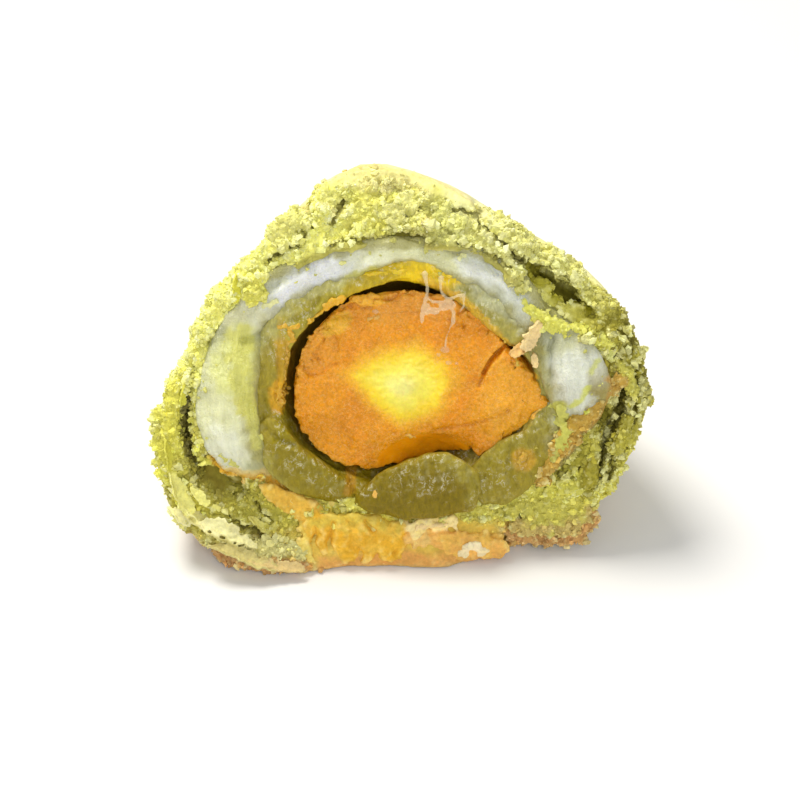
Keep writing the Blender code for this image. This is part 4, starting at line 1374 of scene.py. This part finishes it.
# Flat facets: (x, z, half width, half height, turn, how far back) with a sharp step at their edge.
YOLK_FACETS = [
    (-9.6, 23.4, 2.6, 2.8, 20, 0.35), (8.2, 26.2, 2.0, 1.6, -40, 0.25), (-8.0, 14.0, 3.0, 2.0, -30, 0.2),
]
for x, z, half_x, half_z, turn, back in YOLK_FACETS:
    moved += inward * (back * torn * oval(points, x, z, half_x, half_z, turn, 0.2, 1.2, 0.15))[:, None]
edge = eased((share - 0.8) / 0.15) * (torn > 0.05)
ragged = 0.45 * lumpy(points, 1.3, 55, 3) + 0.25 * broken(points, 0.8, 59, edge > 0.02)
moved += outwards(points) * (ragged * edge)[:, None]
moved += inward * (0.05 * np.clip(below, 0, 2.4) * on_wall)[:, None]
move_points(yolk, moved)
print("yolk:", len(points), "points")

# %% Paint the yolk
points, _, _, _, torn = layer_zones(yolk, no_edge, yolk_edge)
near_relief = evened(yolk, relief_of(yolk, 6), 1)
paint = painted(
    np.tile(linear("#EC9A02"), (len(points), 1)),
    ("#E08700", eased(0.45 + 1.1 * lumpy(points, 3.4, 60)) * 0.5),
    ("#C97004", (1 - torn) * 0.8),
    ("#EFAA20", oval(points, 12.5, 18.0, 4.0, 4.4, 0, 0.4, 2.0, 0.8) * 0.75),
    ("#F1A62E", oval(points, -9.6, 23.8, 2.6, 3.0, 20, 0.3, 1.5, 0.5) * 0.6),
    ("#E8A23A", oval(points, 1.0, 27.6, 7.0, 1.6, 0, 0.5, 2.0, 0.8) * 0.5),
    ("#F5B62C", oval(points, -3.8, 28.4, 2.2, 0.9, 0, 0.2, 1.0) * 0.8),
    ("#F2BC2E", oval(points, -7.2, 25.6, 1.9, 0.9, 30, 0.2, 1.0) * 0.8),
)
# The soft yellow middle, from its rim to its heart.
HEART = [
    (-5.6, 20.8), (-3.0, 22.6), (1.4, 23.5), (4.8, 21.8), (5.6, 20.2), (4.6, 17.6), (2.8, 16.2),
    (0.6, 15.4), (-2.4, 17.0), (-4.6, 19.2),
]
# Each coat begins at one share of the heart's reach and is full at another: (begins, full, colour, strength).
HEART_COATS = [
    (1.36, 0.95, "#FFC224", 0.9), (1.05, 0.80, "#FFDC2A", 0.95),
    (0.85, 0.45, "#FFF05A", 0.9), (0.5, 0.1, "#FFF9A0", 0.6),
]
middle, heart_reach = reach_of(HEART)
dx, dz = points[:, 0] - middle[0], points[:, 2] - middle[1]
off = np.hypot(dx, dz) / heart_reach(np.arctan2(dz, dx)) + 0.10 * lumpy(points, 1.6, 61, 3)
for begins, full, colour, strength in HEART_COATS:
    paint = painted(paint, (colour, eased((begins - off) / (begins - full)) * strength * torn))
on_wall = eased((wall_height(points) - points[:, 2]) / 0.5) * (torn > 0.01)
paint = painted(
    paint,
    # the wall is painted bright orange, as painted light: it faces down and would lie in shade
    ("#FFA206", on_wall * 0.95),
    # hollows are painted darker and raised grains outside the heart paler: painted shade and highlight
    ("#B86806", eased((-near_relief - 0.03) / 0.1) * 0.6),
    ("#F7B945", eased((near_relief - 0.02) / 0.08) * 0.35 * eased((off - 1.0) / 0.3)),
)
store(yolk, "paint", paint)
store(yolk, "coarse", np.clip(1.0 - 0.7 * on_wall - 0.55 * eased((1.05 - off) / 0.3), 0.1, 1))
yolk.data.materials.append(yolk_stuff)
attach(yolk, "root")
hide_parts("salted_yolk")
print("yolk:", triangles(yolk), "triangles")

# %% [markdown]
# ## Oily folds at the foot
# Egg oil ran down and soaked the crust at the foot, so that it stayed soft and orange. It folded there in
# soft vertical pleats instead of crumbling. The folds are slabs too, pressed into pleats by a wave.

# %% Golden folds
FOLDS = [
    (slab([(-16.4, 9.0), (-14.4, 8.8), (-11.4, 7.6), (-8.8, 6.2), (-8.0, 4.8), (-9.8, 4.2), (-12.4, 5.0),
           (-15.0, 7.0)], 0.3, 0.8, 0.8, 0.13, 41, 0.5, (0, 0.03), 5), "#E6B646"),
    (slab([(-10.8, 4.6), (-9.6, 5.9), (-7.2, 5.6), (-4.6, 5.9), (-2.0, 5.2), (0.2, 4.4), (0.9, 2.2),
           (0.2, 0.3), (-4.5, 0.0), (-8.6, 0.1), (-10.6, 2.0)], 0.2, 1.1, 1.4, 0.1, 42, 0.4, detail=5),
     "#E7B231"),
    (slab([(-0.6, 3.6), (1.6, 4.0), (5.0, 3.5), (8.4, 3.1), (11.4, 2.4), (12.3, 1.3), (11.6, 0.2), (6.0, 0.0),
           (0.4, 0.1), (-0.8, 1.4)], 0.2, 0.9, 1.4, 0.1, 43, 0.45, detail=5), "#EFB65C"),
    (crumb_line([(0.4, 4.8), (2.0, 5.0), (4.2, 4.7), (6.0, 4.3)], 110, 0.5, 1.1, 0.42, 0.9), "#FFE8A2"),
    (crumb_line([(0.6, 3.0), (4.0, 3.0), (8.0, 2.6), (11.4, 2.2)], 60, 0.5, 1.1, 0.3, 0.4), "#EDC472"),
    (crumb_line([(-10.9, 4.8), (-10.8, 2.6), (-9.6, 0.9)], 30, 0.5, 1.0, 0.2, 0.3), "#E6CF66"),
    (crumb_line([(-8.4, 5.6), (-5.0, 5.7), (-1.6, 5.4)], 50, 0.5, 1.2, 0.35, 0.5), "#E2CF5A"),
]
folds, paint = joined("oily_folds", FOLDS, voxel=0.15)
points = points_of(folds)
across = points[:, 0] + 0.18 * points[:, 2] + 1.1 * lumpy(points, 3.5, 9, 2)
pleated = oval(points, -5.2, 2.6, 5.6, 3.4, 0, 0.1, soft=0.5)
pleats = (1 - np.abs(np.sin(across * 1.35))) ** 1.5
pleats = pleats * eased(0.5 + lumpy(points, 3.0, 95, 2))
soft = 0.24 * lumpy(points, 1.5, 91, 3) + 0.10 * broken(points, 0.8, 96) + 0.07 * lumpy(points, 0.5, 92, 2)
pleat_depth = 1.05
moved = points + directions_of(folds) * (soft - pleat_depth * pleats * pleated)[:, None]
move_points(folds, moved, lowest=JUST_ABOVE)
points = points_of(folds)
near = evened(folds, relief_of(folds, 10), 2)
over_top = eased((points[:, 2] - 4.6 + 0.8 * lumpy(points, 1.2, 94)) / 1.0)
paint = painted(
    paint,
    ("#F5D05A", eased(0.3 + lumpy(points, 2.0, 93)) * 0.5),
    # creases are painted darker and raised folds paler: painted shade and highlight
    ("#D0921C", eased((-near - 0.04) / 0.2) * 0.6),
    ("#FBE08A", eased((near - 0.02) / 0.12) * 0.6),
    ("#DE9C58", eased((1.5 - points[:, 2]) / 1.2) * 0.6),
    ("#D9C24E", over_top * oval(points, -4.4, 5.4, 6.0, 1.4) * 0.7),
)
finish_crust(folds, paint, coarse=0.6)

# %% [markdown]
# ## Laying small things on the torn face
# Crumbs and flakes lie on the finished surface. A ray from straight in front, at the thing's x and
# height, finds the surface and its direction there.

# %% The finished face
whole_face = surface_of(crust, mochi, paste, yolk, lumps, folds)


def on_face(x, z):
    """The place on the finished torn face at x and z, and the direction it faces."""
    return seen_at(whole_face, x, z)


print("on the yolk's middle the face lies at:", [round(v, 1) for v in on_face(MIDDLE_X, MIDDLE_Z)[0]])

# %% [markdown]
# ## Loose grains
# Wherever shortcrust is torn, thousands of grains of 0.2 to 0.8 mm cling to it. They break the outline
# and catch the light. Each is a ball of only twenty faces with its corners pushed about, because there
# are thousands of them, and all of one kind are one piece.

# %% Grains on the crust
chance = np.random.default_rng(23)


def grains(name, places, out, sizes, colours, flatness=0.75, sink=0.22, batch=400):
    """One piece of many small grains, each with its own colour."""
    parts = []
    for start in range(0, len(places), batch):
        bm = bmesh.new()
        for i in range(start, min(start + batch, len(places))):
            turn = turn_to(out[i]) @ Matrix.Rotation(chance.uniform(0, ROUND), 4, "Z")
            stretch = Matrix.Diagonal((chance.uniform(1.0, 1.6), 1, flatness * chance.uniform(0.8, 1.2), 1))
            middle = Vector(places[i] + out[i] * sizes[i] * (0.5 * flatness - sink))
            bmesh.ops.create_icosphere(
                bm, subdivisions=1, radius=sizes[i] / 2 * MM,
                matrix=Matrix.Translation(middle * MM) @ turn @ stretch,
            )
        parts.append(bm)
    thing = new_piece(name, together(parts), smooth=False)
    each = len(thing.data.vertices) // len(places)
    points = points_of(thing)
    points += chance.normal(0, 0.17, points.shape) * np.repeat(sizes, each)[:, None]
    move_points(thing, points, lowest=JUST_ABOVE)
    finish_crust(thing, np.repeat(colours, each, axis=0), coarse=0.5)


def dough_colour(thing, nearest):
    """The painted colour at the points of a piece."""
    dough = np.empty(len(thing.data.vertices) * 4, np.float32)
    thing.data.attributes["paint"].data.foreach_get("color", dough)
    return dough.reshape(-1, 4)[nearest, :3]


def strewn(weight, on_crust, on_lumps=2100):
    """Random places on the crust and on its lumps: where, facing which way, and the dough's colour there."""
    found = [places_on(crust, weight, on_crust, chance)]
    found.append(places_on(lumps, np.ones(len(lumps.data.vertices)), on_lumps, chance))
    colours = [dough_colour(thing, nearest) for thing, (_, _, nearest) in zip((crust, lumps), found)]
    places, ways = (np.concatenate([one[k] for one in found]) for k in range(2))
    return places, ways, np.concatenate(colours)


points, _, hours, share, torn = crust_zones(crust)
weight = np.maximum(crumbly(points, hours, share, torn), 0) + 0.02 * torn
raised = eased((relief_of(crust, 8) + 0.1) / 0.25)
drifts = 0.25 + eased(0.5 + 1.2 * lumpy(points, 3.0, 27, 3, weight > 0.05))
# Each grain takes the colour of the dough it came from, a little darker or lighter; the few much lighter
# grains are painted highlights that sparkle.
places, ways, colours = strewn(weight * (0.2 + raised) * drifts, 7400)
sizes = 0.22 + 0.56 * chance.random(len(places)) ** 2.4
colours = np.clip(colours * (0.85 + 0.65 * chance.random((len(places), 1)) ** 2) + 0.01, 0, 0.94)
grains("crust_grains", places, ways, sizes, colours)

# Finer grit fills in between the grains.
places, ways, colours = strewn(weight * (0.5 + raised), 7600)
# the grit is lightened at random in the same way, the much lighter bits as painted sparkle
colours = np.clip(colours * (0.95 + 0.7 * chance.random((len(places), 1)) ** 2) + 0.02, 0, 0.94)
grains("crust_grit", places, ways, chance.uniform(0.14, 0.3, len(places)), colours)

# A few crumbs fell on the moist filling and stuck, most of them near its rim.
spots, ways = [], []
for thing, edge, count in ((mochi, mochi_edge, 80), (paste, paste_edge, 8)):
    hours, reach = clock(points_of(thing))
    torn = eased((directions_of(thing) @ TEAR_FACES - 0.3) / 0.3)
    near_rim = np.exp(-((edge(hours) - reach) / 1.0) ** 2)
    found, facing, _ = places_on(thing, torn * (near_rim + 0.02), count, chance)
    spots.append(found)
    ways.append(facing)
spots, ways = np.concatenate(spots), np.concatenate(ways)
sizes = 0.15 + 0.45 * chance.random(len(spots)) ** 2.5
colours = linear("#DAD678") * chance.uniform(0.8, 1.2, (len(spots), 1))
grains("stuck_crumbs", spots, ways, sizes, colours)

# %% [markdown]
# ## Flakes
# Thin sheets of baked dough peeled off along the lower left, one flake stands up on the left shoulder,
# and a tan flake lies on the mochi at the right. A flake starts as a flat grid, its outline is nibbled,
# it is bent, and Solidify in bmesh makes it a third to half a millimetre thick.

# %% Flakes of baked dough
def flake(x, z, length, width, thick, along, tip, curl, twist, seed, lift=0.0):
    """A bmesh of one thin ragged sheet on the torn face: along and tip are degrees, lift is forward."""
    bm = bmesh.new()
    bmesh.ops.create_grid(bm, x_segments=30, y_segments=14, size=0.5)
    for vertex in bm.verts:
        u, v = vertex.co.x, vertex.co.y
        taper = 1 - 0.6 * (2 * abs(u)) ** 2.4
        nibble = 0.34 * noise.fractal(Vector((u * 7, 2 * math.copysign(1, v), seed)), 1.0, 2.0, 4)
        vertex.co.x = (u * (1 + 0.14 * noise.noise(Vector((0, v * 7, seed))))) * length
        vertex.co.y = (v * taper + nibble * abs(2 * v) ** 2 * taper) * width
        bend = curl * (v * 2) ** 2 + twist * u * v * 4
        wave = noise.fractal(Vector((u * length / 3, v * width / 3, seed + 9)), 1.0, 2.0, 3)
        vertex.co.z = bend + 0.3 * wave
    bmesh.ops.solidify(bm, geom=bm.faces[:], thickness=thick)
    bmesh.ops.recalc_face_normals(bm, faces=bm.faces)
    spot, _ = on_face(x, z)
    turn = turn_to(TEAR_FACES) @ Matrix.Rotation(math.radians(along), 4, "Z")
    turn = turn @ Matrix.Rotation(math.radians(tip), 4, "X")
    middle = spot + Vector(TEAR_FACES) * lift
    bmesh.ops.transform(bm, matrix=Matrix.Translation(middle) @ turn, verts=bm.verts)
    bmesh.ops.scale(bm, vec=Vector((MM, MM, MM)), verts=bm.verts)
    return bm


# x, z, length, width, thick, along, tip, curl, twist, seed, lift, colour
SHEETS = [
    (-24.8, 8.6, 5.4, 2.2, 0.3, 112, 52, 0.5, 0.3, 1, 0.6, "#F0EA88"),
    (-23.4, 6.2, 7.6, 2.4, 0.3, 134, 56, 0.6, 0.4, 2, 0.7, "#F4EEA0"),
    (-21.0, 4.2, 8.2, 2.2, 0.3, 146, 62, 0.6, -0.4, 3, 0.9, "#DDD388"),
    (-17.8, 2.4, 8.2, 2.0, 0.3, 160, 62, 0.5, 0.3, 4, 1.0, "#CABD78"),
    (-14.0, 1.4, 6.4, 1.4, 0.3, 172, 58, 0.4, 0.3, 8, 0.7, "#D8BE80"),
    (-20.4, 5.0, 4.6, 1.8, 0.3, 166, 24, 0.4, 0.3, 5, 1.0, "#F0E9A8"),
    (-22.6, 8.2, 3.0, 1.2, 0.3, 130, 30, 0.3, 0.2, 9, 0.6, "#F0EA88"),
    (-25.0, 5.6, 3.4, 1.2, 0.3, 140, 40, 0.4, 0.3, 16, 1.0, "#F6F0B4"),
    (-18.6, 3.9, 5.4, 1.1, 0.3, 156, 50, 0.3, 0.2, 17, 1.1, "#ECE4A0"),
    (-25.9, 12.6, 4.2, 1.4, 0.3, 98, 58, 0.3, 0.2, 6, 0.5, "#D6D052"),
    (-24.2, 18.8, 2.8, 1.0, 0.3, 84, 60, 0.3, 0.2, 10, 0.4, "#DAD552"),
    (-18.0, 30.1, 3.4, 1.1, 0.4, 84, 30, 0.2, 0.2, 7, 0.5, "#E2DC4E"),
    (-16.0, 4.8, 3.0, 1.0, 0.4, 140, 40, 0.4, 0.3, 14, 0.5, "#D6CE70"),
]
sheets, paint = joined("crust_sheets", [(flake(*row[:-1]), row[-1]) for row in SHEETS], voxel=0.12)
finish_crumbs(sheets, paint, relief=0.05, coarse=0.5, seed=61, by=0.55)

# %% Tan flake
tan, paint = joined("tan_flake", [
    (flake(14.4, 25.2, 3.6, 1.7, 0.5, 60, 14, 0.5, 0.4, 11, 0.7), "#F8DC9E"),
    (flake(13.2, 23.6, 2.6, 1.2, 0.5, 30, -10, 0.3, 0.3, 15, 0.5), "#F2C67C"),
    (flake(14.8, 22.8, 1.8, 0.8, 0.4, 100, 0, 0.2, 0.1, 12, 0.5), "#F6D898"),
], voxel=0.11)
finish_crumbs(tan, paint, relief=0.09, coarse=0.9, seed=64, by=0.3)

# %% [markdown]
# ## Bits of yolk and crumb on the filling
# Where the yolk broke away, golden bits of it stayed on the paste, and green crumbs stuck to the wet
# mochi. Each bit is a handful of overlapping rough balls, fused, so that it looks like a torn morsel.

# %% Morsels
def morsel(x, z, length, width, height, turn):
    """Rough balls along a short stretch of the torn face: turn is in degrees from level."""
    spots, sizes = [], []
    cos, sin = math.cos(math.radians(turn)), math.sin(math.radians(turn))
    for _ in range(int(8 + 16 * length * width)):
        u = chance.uniform(-0.5, 0.5) * length
        v = chance.normal(0, 0.22) * width * (1 - abs(u / length))
        spot, _ = on_face(x + u * cos - v * sin, z + u * sin + v * cos)
        spots.append(np.array(spot))
        sizes.append(chance.uniform(0.4, 1.0) * height)
    ways = [TEAR_FACES] * len(spots)
    return rough_balls(np.array(spots), ways, np.array(sizes), flatness=0.55, sink=-0.02, roughness=0.3)


# x, z, length, width, height, turn, colour
YOLK_BITS = [
    (-7.2, 28.4, 2.2, 1.3, 0.8, 25, "#EDB126"), (-9.4, 26.9, 2.0, 0.6, 0.6, 30, "#E9B428"),
    (-12.4, 26.2, 2.4, 0.6, 0.6, 5, "#E3AC30"), (-12.2, 25.2, 1.4, 0.7, 0.6, -70, "#DDA628"),
    (-12.7, 22.4, 4.6, 0.5, 0.45, 84, "#C8962A"), (-13.4, 18.0, 2.4, 1.2, 0.7, -70, "#E2AA2C"),
    (13.6, 12.4, 1.5, 1.0, 0.6, 40, "#CFA336"), (-1.6, 31.2, 4.4, 0.6, 0.6, 6, "#EBC41E"),
    (3.8, 31.0, 3.4, 0.6, 0.6, -4, "#EDC722"), (8.6, 27.2, 3.6, 0.4, 0.4, -45, "#DDB53A"),
    (12.2, 23.2, 3.4, 0.4, 0.4, -55, "#DDB53A"), (14.9, 16.4, 2.0, 0.4, 0.4, 45, "#E3A93A"),
    (-5.7, 9.5, 0.8, 0.4, 0.4, 70, "#C98F22"), (-2.9, 9.3, 0.6, 0.4, 0.5, 90, "#F0B24C"),
    (1.0, 14.0, 1.2, 0.5, 0.4, -20, "#F2AE45"), (-3.0, 26.2, 1.2, 0.6, 0.4, 10, "#F0B050"),
]
yolk_bits, paint = joined("yolk_bits", [(morsel(*row[:-1]), row[-1]) for row in YOLK_BITS], voxel=0.11)
points = points_of(yolk_bits)
points += directions_of(yolk_bits) * (0.08 * lumpy(points, 0.5, 71) + 0.06 * broken(points, 0.5, 72))[:, None]
move_points(yolk_bits, points, lowest=JUST_ABOVE)
near = relief_of(yolk_bits, 5)
# Their hollows are painted darker and their tops paler: painted shade and highlight.
paint = painted(
    paint, ("#A66E10", eased((-near - 0.02) / 0.08) * 0.6), ("#FFDE7A", eased((near - 0.02) / 0.08) * 0.4)
)
store(yolk_bits, "paint", paint)
store(yolk_bits, "coarse", np.full(len(points), 0.6))
yolk_bits.data.materials.append(yolk_stuff)
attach(yolk_bits, "root")
print("yolk bits:", triangles(yolk_bits), "triangles")

CRUMB_BITS = [
    (17.8, 16.8, 2.8, 2.2, 0.6, 84, "#CFCC66"), (18.2, 14.6, 2.6, 2.0, 0.6, 70, "#CBC85C"),
    (17.2, 12.6, 1.8, 1.4, 0.5, 60, "#C6C05A"), (8.2, 2.4, 1.8, 1.3, 0.7, 10, "#FDEABC"),
    (7.2, 1.5, 1.3, 1.0, 0.7, 0, "#FBE6B2"), (9.3, 1.6, 1.2, 1.0, 0.6, 40, "#FBE4AE"),
    (-14.4, 28.6, 1.8, 0.7, 0.6, 20, "#EDEBA8"), (-19.2, 12.6, 2.4, 0.8, 0.5, -40, "#D2CD70"),
    (3.4, 4.9, 3.6, 0.7, 0.6, 3, "#F5D596"), (14.0, 28.4, 1.8, 0.6, 0.6, -55, "#DAD860"),
    (-6.4, 32.4, 0.7, 0.5, 0.5, 0, "#E5E28E"), (6.6, 32.9, 0.9, 0.5, 0.5, 0, "#ECEAA8"),
    (15.0, 13.4, 0.6, 0.4, 0.4, 0, "#E0CF60"),
    (11.0, 35.2, 2.0, 0.9, 0.8, -35, "#EFEB86"), (20.6, 17.6, 1.0, 0.5, 0.4, 50, "#DDE05A"),
]
crumb_bits, paint = joined("crumb_bits", [(morsel(*row[:-1]), row[-1]) for row in CRUMB_BITS], voxel=0.13)
finish_crumbs(crumb_bits, paint, relief=0.07, coarse=0.6, seed=66, by=0.6)

# %% [markdown]
# ## Sticky strings
# Yolk oil and mochi pulled out in a thin web from the roof of the hollow down over the yolk. It is
# whitish and lets the yolk show through, so the material has an alpha below one and a wet shine. Each
# string is a chain of small balls that thins towards its end; fused, they make one web with a hole in it.

# %% Strings over the yolk
string_stuff, tree, shader = new_material(
    "drawn_rice_syrup",
    {"Base Color": (*linear("#FFEFC4"), 1), "Roughness": 0.2, "IOR": 1.42, "Alpha": 0.24, "Coat Weight": 0.5},
)
where = add(tree, "TexCoord").outputs["Object"]
ripple = add(tree, "TexNoise", {"Scale": 1000 / 0.6, "Detail": 2.0}, {"Vector": where})
bump = add(tree, "Bump", {"Strength": 0.4, "Distance": 0.0002}, {"Height": ripple})
tree.links.new(bump.outputs[0], shader.inputs["Normal"])
# (x, z, how far in front of the plain tear, width) along each string.
STRINGS = [
    [(2.6, 31.6, 0.4, 0.8), (2.8, 30.6, 0.5, 0.4), (2.9, 29.6, 0.5, 0.4), (2.6, 28.6, 0.4, 0.5),
     (2.2, 27.4, 0.2, 0.3)],
    [(4.4, 31.2, 0.4, 0.7), (4.3, 30.4, 0.5, 0.35), (4.5, 29.6, 0.5, 0.35), (5.2, 28.8, 0.4, 0.5)],
    [(2.8, 29.2, 0.45, 0.4), (3.4, 28.7, 0.4, 0.35), (4.4, 28.6, 0.4, 0.35), (5.2, 28.9, 0.4, 0.4)],
    [(5.2, 28.9, 0.4, 0.45), (6.2, 29.3, 0.4, 0.35), (7.0, 29.4, 0.4, 0.6)],
    [(6.9, 29.2, 0.4, 0.4), (6.9, 28.2, 0.35, 0.3), (6.4, 27.4, 0.3, 0.2)],
    [(5.2, 28.6, 0.4, 0.5), (5.9, 27.4, 0.3, 0.4), (5.6, 26.2, 0.2, 0.3), (5.0, 24.8, 0.1, 0.2),
     (4.9, 23.6, 0.1, 0.3)],
]
# A thin film hangs between the strings: (x, z, half width, half height) of its flat lobes.
FILM = [
    (2.8, 27.9, 0.6, 0.8), (3.7, 27.7, 0.7, 0.5), (4.8, 28.1, 0.7, 0.5), (5.6, 28.3, 0.5, 0.6),
    (2.3, 27.0, 0.3, 0.8), (5.8, 27.0, 0.3, 0.9),
]
# Drops of the same oil lie on the yolk: (x, z, width).
DROPS = [(4.9, 23.2, 1.0), (4.2, 22.7, 0.6), (-2.8, 26.8, 0.8), (6.2, 21.9, 0.5), (5.3, 21.9, 0.7)]
BALLS_PER_STRETCH = 9
bm = bmesh.new()
for string in STRINGS:
    for (x0, z0, off0, wide0), (x1, z1, off1, wide1) in zip(string, string[1:]):
        for step in range(BALLS_PER_STRETCH):
            share = step / BALLS_PER_STRETCH
            spot = tear_place(x0 + (x1 - x0) * share, z0 + (z1 - z0) * share, off0 + (off1 - off0) * share)
            radius = (wide0 + (wide1 - wide0) * share) / 2 * MM
            here = Matrix.Translation(spot * MM)
            bmesh.ops.create_icosphere(bm, subdivisions=2, radius=radius, matrix=here)
for x, z, half_x, half_z in FILM:
    lobe = Matrix.Diagonal((half_x, half_z, 0.14, 1))
    flat = Matrix.Translation(tear_place(x, z, 0.35) * MM) @ turn_to(TEAR_FACES) @ lobe
    bmesh.ops.create_icosphere(bm, subdivisions=3, radius=MM, matrix=flat)
for x, z, wide in DROPS:
    spot, _ = on_face(x, z)
    flat = Matrix.Translation(spot * MM) @ Matrix.Diagonal((1.2, 0.5, 0.9, 1))
    bmesh.ops.create_icosphere(bm, subdivisions=2, radius=wide / 2 * MM, matrix=flat)
strings = new_piece("sticky_strings", bm)
fuse(strings, voxel=0.1, rounds=2)
points = points_of(strings)
move_points(strings, points + directions_of(strings) * (0.1 * lumpy(points, 0.6, 81, 2))[:, None])
strings.data.materials.append(string_stuff)
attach(strings, "root")
print("strings:", triangles(strings), "triangles")

# %% [markdown]
# ## Stage, light and camera
# A plain pale floor, one large soft lamp above and behind on the left, and a softer one in front. The
# camera looks down at 38 degrees, straight at the torn face, from a quarter of a metre away.

# %% Floor
floor_stuff, tree, shader = new_material(
    "matt_pale_board", {"Base Color": (*linear("#ECEAE6"), 1), "Roughness": 0.75}
)
where = add(tree, "TexCoord").outputs["Object"]
tooth = add(tree, "TexNoise", {"Scale": 400.0, "Detail": 3.0}, {"Vector": where})
bump = add(tree, "Bump", {"Strength": 0.05, "Distance": 0.0003}, {"Height": tooth})
tree.links.new(bump.outputs[0], shader.inputs["Normal"])
bm = bmesh.new()
bmesh.ops.create_grid(bm, x_segments=1, y_segments=1, size=1.5)
A_LITTLE_BELOW = -0.1 * MM
bmesh.ops.translate(bm, verts=bm.verts, vec=(0, 0, A_LITTLE_BELOW))
floor = new_piece("floor", bm, smooth=False)
floor.data.materials.append(floor_stuff)
print("the floor lies", A_LITTLE_BELOW / MM, "mm high")

# %% Lights
scene = bpy.context.scene
world = bpy.data.worlds.new("studio")
world.use_nodes = True
world.node_tree.nodes["Background"].inputs["Color"].default_value = (*linear("#F4F6FA"), 1)
world.node_tree.nodes["Background"].inputs["Strength"].default_value = 0.5
scene.world = world


def soft_lamp(name, place, aim, size, watts, colour):
    """A round area lamp of that width, in metres, at a place and pointed at another."""
    lamp = bpy.data.lights.new(name, "AREA")
    lamp.shape = "DISK"
    lamp.size = size
    lamp.energy = watts
    lamp.color = linear(colour)
    thing = bpy.data.objects.new(name, lamp)
    thing.location = place
    thing.rotation_euler = (Vector(aim) - Vector(place)).to_track_quat("-Z", "Y").to_euler()
    scene.collection.objects.link(thing)


soft_lamp("key_lamp", (-0.12, 0.10, 0.34), (0, 0, 0.02), size=0.16, watts=1.32, colour="#FFFDF8")
soft_lamp("front_lamp", (0.05, -0.34, 0.26), (0, 0, 0.02), size=0.2, watts=0.56, colour="#FFFFFF")
scene.view_settings.view_transform = "Standard"
print("lamps:", len(bpy.data.lights))

# %% Camera
ELEVATION = math.radians(38)
DISTANCE = 0.25
AIMS_AT = Vector((-0.099, -10.037, 18.3)) * MM
looks = Vector((0, math.cos(ELEVATION), -math.sin(ELEVATION)))
lens = bpy.data.cameras.new("camera")
lens.lens = 101.08
lens.sensor_width = 36
lens.clip_start = 0.01
camera = bpy.data.objects.new("camera", lens)
camera.location = AIMS_AT - looks * DISTANCE
camera.rotation_euler = looks.to_track_quat("-Z", "Y").to_euler()
scene.collection.objects.link(camera)
scene.camera = camera
print("camera at:", [round(v / MM, 1) for v in camera.location])
